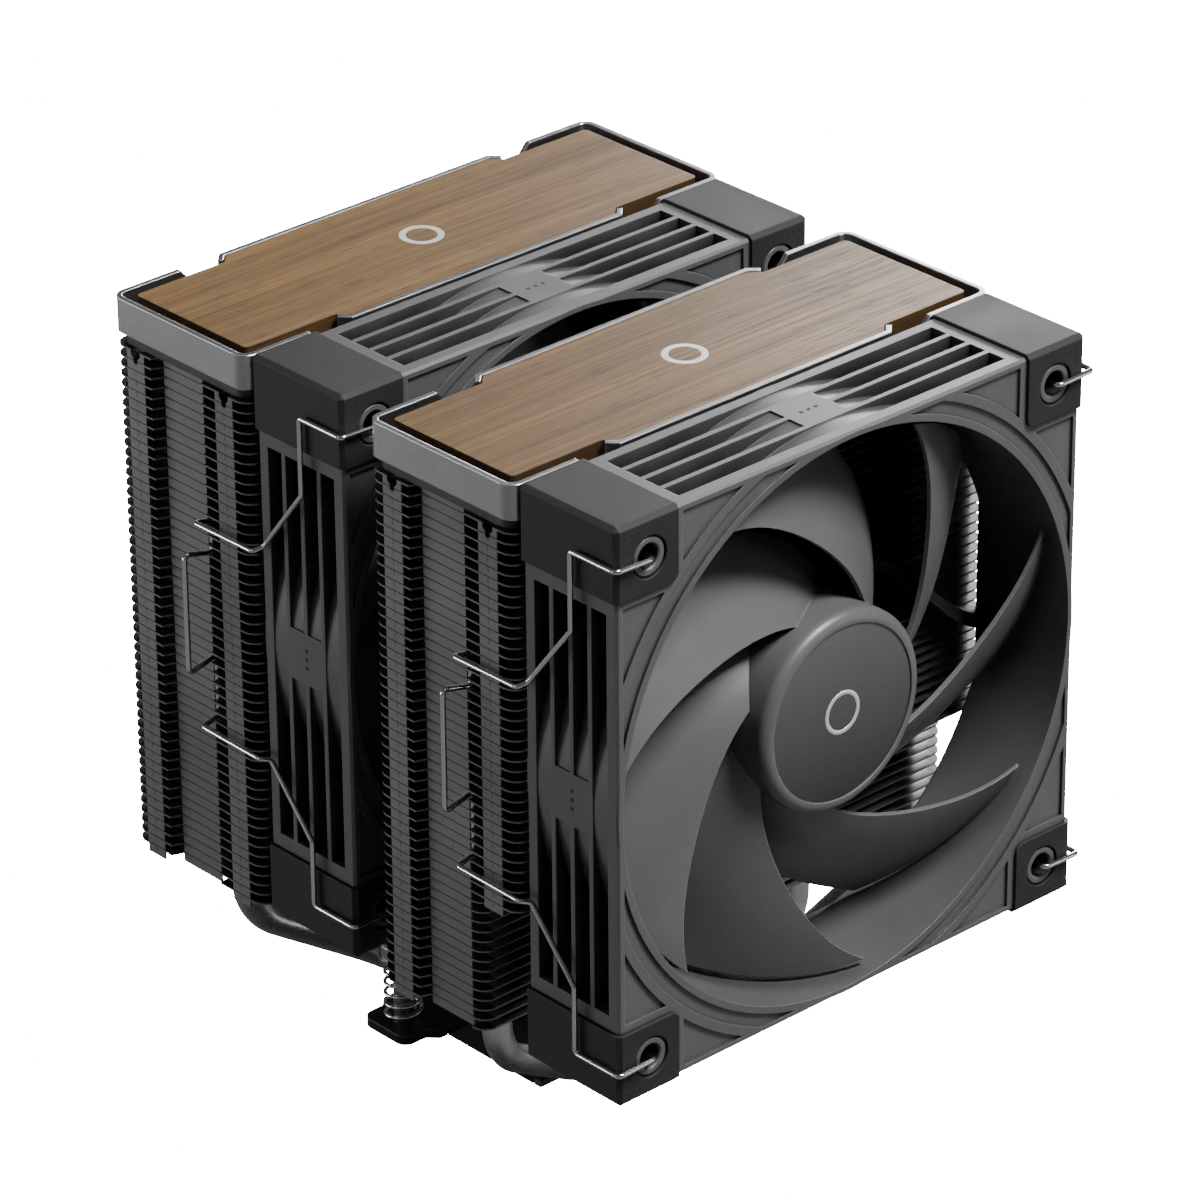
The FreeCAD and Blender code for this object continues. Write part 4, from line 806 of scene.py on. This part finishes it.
@dataclass
class Fan:
    """One fan: its frame, pads, motor, rotor and clips, with the small pieces on them."""

    name: str
    palette: Palette
    hole_inset: float = 7.5 * MM
    hole_radius: float = 2.5 * MM
    eyelet_radius: float = 4.0 * MM
    eyelet_proud: float = 0.45 * MM
    dimple_inset: float = 2.5 * MM
    dimple_pitch: float = 1.5 * MM
    dimple_half: float = 0.45 * MM
    dot_pitch: float = 1.9 * MM
    dot_half: float = 0.42 * MM
    skin: float = 0.03 * MM
    ring_inner: float = 3.6 * MM
    ring_outer: float = 4.6 * MM
    label_hole: float = 0.4 * MM
    label_radius: float = 18.6 * MM
    label_disc: float = 8.8 * MM
    centre: Vector = field(init=False)
    half_side: float = field(init=False)
    depth: float = field(init=False)

    def __post_init__(self) -> None:
        """Read the fan's place from the CAD frame; its centre lies on the front face."""
        low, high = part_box(self.name + "_fan_frame")
        self.centre = Vector(((low.x + high.x) / 2, low.y, (low.z + high.z) / 2))
        self.half_side = (high.x - low.x) / 2
        self.depth = high.y - low.y

    def dress(self) -> None:
        """Give the fan's CAD nodes their finishes."""
        worn = {"fan_frame": "frame", "circuit_board": "board", "stator_core": "lamination",
                "stator_coils": "copper", "bearing_sleeve": "bronze", "impeller": "rotor",
                "hub_cap": "cap", "rotor_yoke": "steel", "magnet_ring": "magnet", "rotor_shaft": "steel"}
        for level in LEVELS:
            for side in SIDES:
                worn["pad_{}_{}".format(level, side)] = "pad"
        for side in SIDES:
            worn["clip_" + side] = "clip"
        for part, name in worn.items():
            self.palette.dress(frame["nodes"]["{}_{}".format(self.name, part)], name)

    def build(self) -> None:
        """Add the pieces that the CAD leaves to this scene."""
        self.eyelets()
        self.pad_dimples()
        self.side_dots()
        self.cap_ring()
        self.motor_label()

    def eyelets(self) -> None:
        """Add the raised ring round each screw hole, on both faces of the frame."""
        mesh = bmesh.new()
        place = self.half_side - self.hole_inset
        proud = self.eyelet_proud
        lip = 0.3 * MM
        inner = self.hole_radius
        outer = self.eyelet_radius
        section = [(inner, lip), (inner, lip - proud), (inner + lip, -proud),
                   (outer - lip, -proud), (outer, lip - proud), (outer, lip)]
        for side in SIDES.values():
            for level in LEVELS.values():
                spot = self.centre + Vector((place * side, 0, place * level))
                add_lathe(mesh, section, spot)
                add_lathe(mesh, [(r, -y) for r, y in section], spot + Vector((0, self.depth, 0)))
        self.palette.dress(new_piece(self.name + "_eyelets", mesh, ROOT_BODY, smooth=False), "frame")

    def pad_dimples(self) -> None:
        """Add five small square dimples in an angle at the outer corner of each pad, each a thin raised
        tile painted as shadow, with a smaller pale tile painted as a glint.
        """
        mesh = bmesh.new()
        steps = [(0, 0), (1, 0), (2, 0), (0, 1), (0, 2)]
        across = Vector((self.dimple_half, 0, 0))
        up = Vector((0, 0, self.dimple_half))
        out = Vector((0, -self.skin, 0))
        for level_name, level in LEVELS.items():
            for side_name, side in SIDES.items():
                low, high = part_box("{}_pad_{}_{}".format(self.name, level_name, side_name))
                corner_x = (high.x if side > 0 else low.x) - self.dimple_inset * side
                corner_z = (high.z if level > 0 else low.z) - self.dimple_inset * level
                for i, j in steps:
                    spot = Vector((corner_x - self.dimple_pitch * i * side, low.y,
                                   corner_z - self.dimple_pitch * j * level))
                    # A thin dark tile standing on the pad: the dimple's painted shadow.
                    add_tile(mesh, spot, across, up, out, 0)
                    # A smaller pale tile on top of it, off centre: a painted glint.
                    inner = spot + across * 0.25 - up * 0.25 + out
                    add_tile(mesh, inner, across * 0.5, up * 0.5, out * 0.5, 1)
        piece = new_piece(self.name + "_pad_dimples", mesh, ROOT_BODY, smooth=False)
        self.palette.dress(piece, "shadow", "glint")

    def side_dots(self) -> None:
        """Add a plain row of three small marks in the middle of each side of the frame, each a dark tile
        painted as shadow with a smaller pale tile painted as a glint.
        """
        mesh = bmesh.new()
        middle = self.centre + Vector((0, self.depth / 2, 0))
        half = self.dot_half
        for quarter in range(4):
            turn = Matrix.Rotation(math.tau * quarter / 4, 3, "Y")
            along = turn @ Vector((1, 0, 0))
            out = turn @ Vector((0, 0, 1))
            for i in (-1, 0, 1):
                spot = middle + out * self.half_side + along * (self.dot_pitch * i)
                # A thin dark tile on the side: painted shadow.
                add_tile(mesh, spot, along * half, Vector((0, half, 0)), out * self.skin, 0)
                # A smaller pale tile on top of it: a painted glint.
                inner = spot + out * self.skin + along * (half * 0.2) + Vector((0, half * 0.2, 0))
                across = along * (half * 0.5)
                add_tile(mesh, inner, across, Vector((0, half * 0.5, 0)), out * (self.skin / 2), 1)
        piece = new_piece(self.name + "_side_dots", mesh, ROOT_BODY, smooth=False)
        self.palette.dress(piece, "shadow", "glint")

    def cap_ring(self) -> None:
        """Add a plain thin ring on the hub cap."""
        low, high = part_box(self.name + "_hub_cap")
        mesh = bmesh.new()
        spot = Vector(((low.x + high.x) / 2, low.y, (low.z + high.z) / 2))
        sunk = 0.02 * MM
        slope = 0.1 * MM
        proud = 0.08 * MM
        section = [(self.ring_inner, sunk), (self.ring_inner + slope, -proud),
                   (self.ring_outer - slope, -proud), (self.ring_outer, sunk)]
        add_lathe(mesh, section, spot, 72)
        self.palette.dress(new_piece(self.name + "_cap_ring", mesh, self.name + "_rotor"), "badge")

    def motor_label(self) -> None:
        """Add a plain stepped label on the back of the motor base."""
        mesh = bmesh.new()
        spot = self.centre + Vector((0, self.depth, 0))
        sunk = -0.02 * MM
        low = 0.03 * MM
        rim = 0.04 * MM
        high = 0.05 * MM
        step = 0.2 * MM
        hole, outer = self.label_hole, self.label_radius
        band, disc = outer - 1.2 * MM, self.label_disc
        section = [(hole, sunk), (outer, sunk), (outer, rim), (band, high),
                   (band - step, low), (disc + step, low), (disc, high), (hole, high)]
        add_lathe(mesh, section, spot, 72)
        piece = new_piece(self.name + "_motor_label", mesh, ROOT_BODY, smooth=False)
        self.palette.dress(piece, "label")


# ---------------------------------------------------------------- studio

@dataclass
class Lamp:
    """One soft area light aimed at the cooler."""

    name: str
    place: tuple[float, float, float]
    size: tuple[float, float]
    power: float
    aim: tuple[float, float, float] = (0.0, -0.03, 0.09)

    def build(self) -> None:
        """Make the light and turn it to its aim."""
        data = bpy.data.lights.new(self.name, "AREA")
        data.shape = "RECTANGLE"
        data.size, data.size_y = self.size
        data.energy = self.power
        lamp = bpy.data.objects.new(self.name, data)
        lamp.location = self.place
        toward = Vector(self.aim) - Vector(self.place)
        lamp.rotation_euler = toward.to_track_quat("-Z", "Y").to_euler()
        bpy.context.scene.collection.objects.link(lamp)


@dataclass
class Studio:
    """The pale floor, the soft lights and the camera."""

    azimuth: float = -42.354
    elevation: float = 27.409
    roll: float = -0.445
    lens: float = 192.8
    place: tuple[float, float, float] = (-0.7521, -0.8384, 0.6793)
    floor_half: float = 6.0
    ambient: float = 0.12

    def build(self) -> None:
        """Make the whole studio."""
        self.camera()
        self.floor()
        self.surroundings()
        for lamp in (
            Lamp("key_softbox", (0.26, -0.68, 1.27), (0.45, 0.45), 44.0),
            Lamp("sheen_softbox", (0.66, 0.34, 0.36), (0.36, 0.26), 6.0),
            Lamp("side_softbox", (-1.50, 0.10, 0.65), (0.5, 0.9), 2.0),
            Lamp("low_softbox", (-0.80, 0.95, 0.14), (0.7, 0.26), 7.5),
            Lamp("front_softbox", (0.80, -1.05, 0.16), (0.5, 0.30), 1.5),
        ):
            lamp.build()

    def camera(self) -> None:
        """Make the camera from its angle, roll, lens and place."""
        turn, tilt, roll = (math.radians(a) for a in (self.azimuth, self.elevation, self.roll))
        flat = math.cos(tilt)
        back = Vector((math.sin(turn) * flat, -math.cos(turn) * flat, math.sin(tilt)))
        facing = (-back).to_track_quat("-Z", "Y").to_matrix() @ Matrix.Rotation(roll, 3, "Z")
        data = bpy.data.cameras.new("camera")
        data.lens = self.lens
        data.sensor_width = 36.0
        camera = bpy.data.objects.new("camera", data)
        camera.matrix_world = Matrix.Translation(self.place) @ facing.to_4x4()
        bpy.context.scene.collection.objects.link(camera)
        bpy.context.scene.camera = camera

    def floor(self) -> None:
        """Make the pale floor under the cold plate."""
        mesh = bmesh.new()
        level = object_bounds()[0].z
        half = self.floor_half
        corners = [mesh.verts.new((a * half, b * half, level)) for a, b in CORNERS]
        mesh.faces.new(corners)
        data = bpy.data.meshes.new("floor")
        mesh.to_mesh(data)
        mesh.free()
        floor = bpy.data.objects.new("floor", data)
        bpy.context.scene.collection.objects.link(floor)
        made, tree = empty_material("pale_floor")
        cloud = tree.noise(tree.stretched((1.0, 1.0, 1.0)), 3.0)
        colour = tree.blend(cloud, (0.93, 0.93, 0.93), (0.95, 0.95, 0.95))
        seen = tree.add("LightPath").outputs["Is Camera Ray"]
        shader = tree.add("BsdfPrincipled", {
            "Base Color": tree.blend(seen, (0.12, 0.12, 0.12), colour), "Roughness": 0.9,
            "Emission Color": tree.blend(seen, (0.0, 0.0, 0.0), (1.0, 1.0, 1.0)),
            "Emission Strength": 40.0})
        tree.add("OutputMaterial", {"Surface": shader.outputs[0]})
        floor.data.materials.append(made)
        floor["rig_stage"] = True

    def surroundings(self) -> None:
        """Make the plain grey-white surroundings."""
        world = bpy.data.worlds.new("studio")
        world.use_nodes = True
        background = world.node_tree.nodes["Background"]
        background.inputs["Color"].default_value = (1.0, 1.0, 1.0, 1.0)
        background.inputs["Strength"].default_value = self.ambient
        bpy.context.scene.world = world


def main() -> None:
    """Build the cooler's looks, piece by piece, and the studio round it."""
    logging.basicConfig(level=logging.INFO, format="%(name)s %(message)s")
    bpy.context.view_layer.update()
    palette = Palette()
    Base(palette).dress()
    for name in ("front", "rear"):
        Tower(name, palette).dress()
        fan = Fan(name, palette)
        fan.dress()
        fan.build()
        log.info("%s fan at y %.4f", name, fan.centre.y)
    Studio().build()


if __name__ == "__main__":
    main()
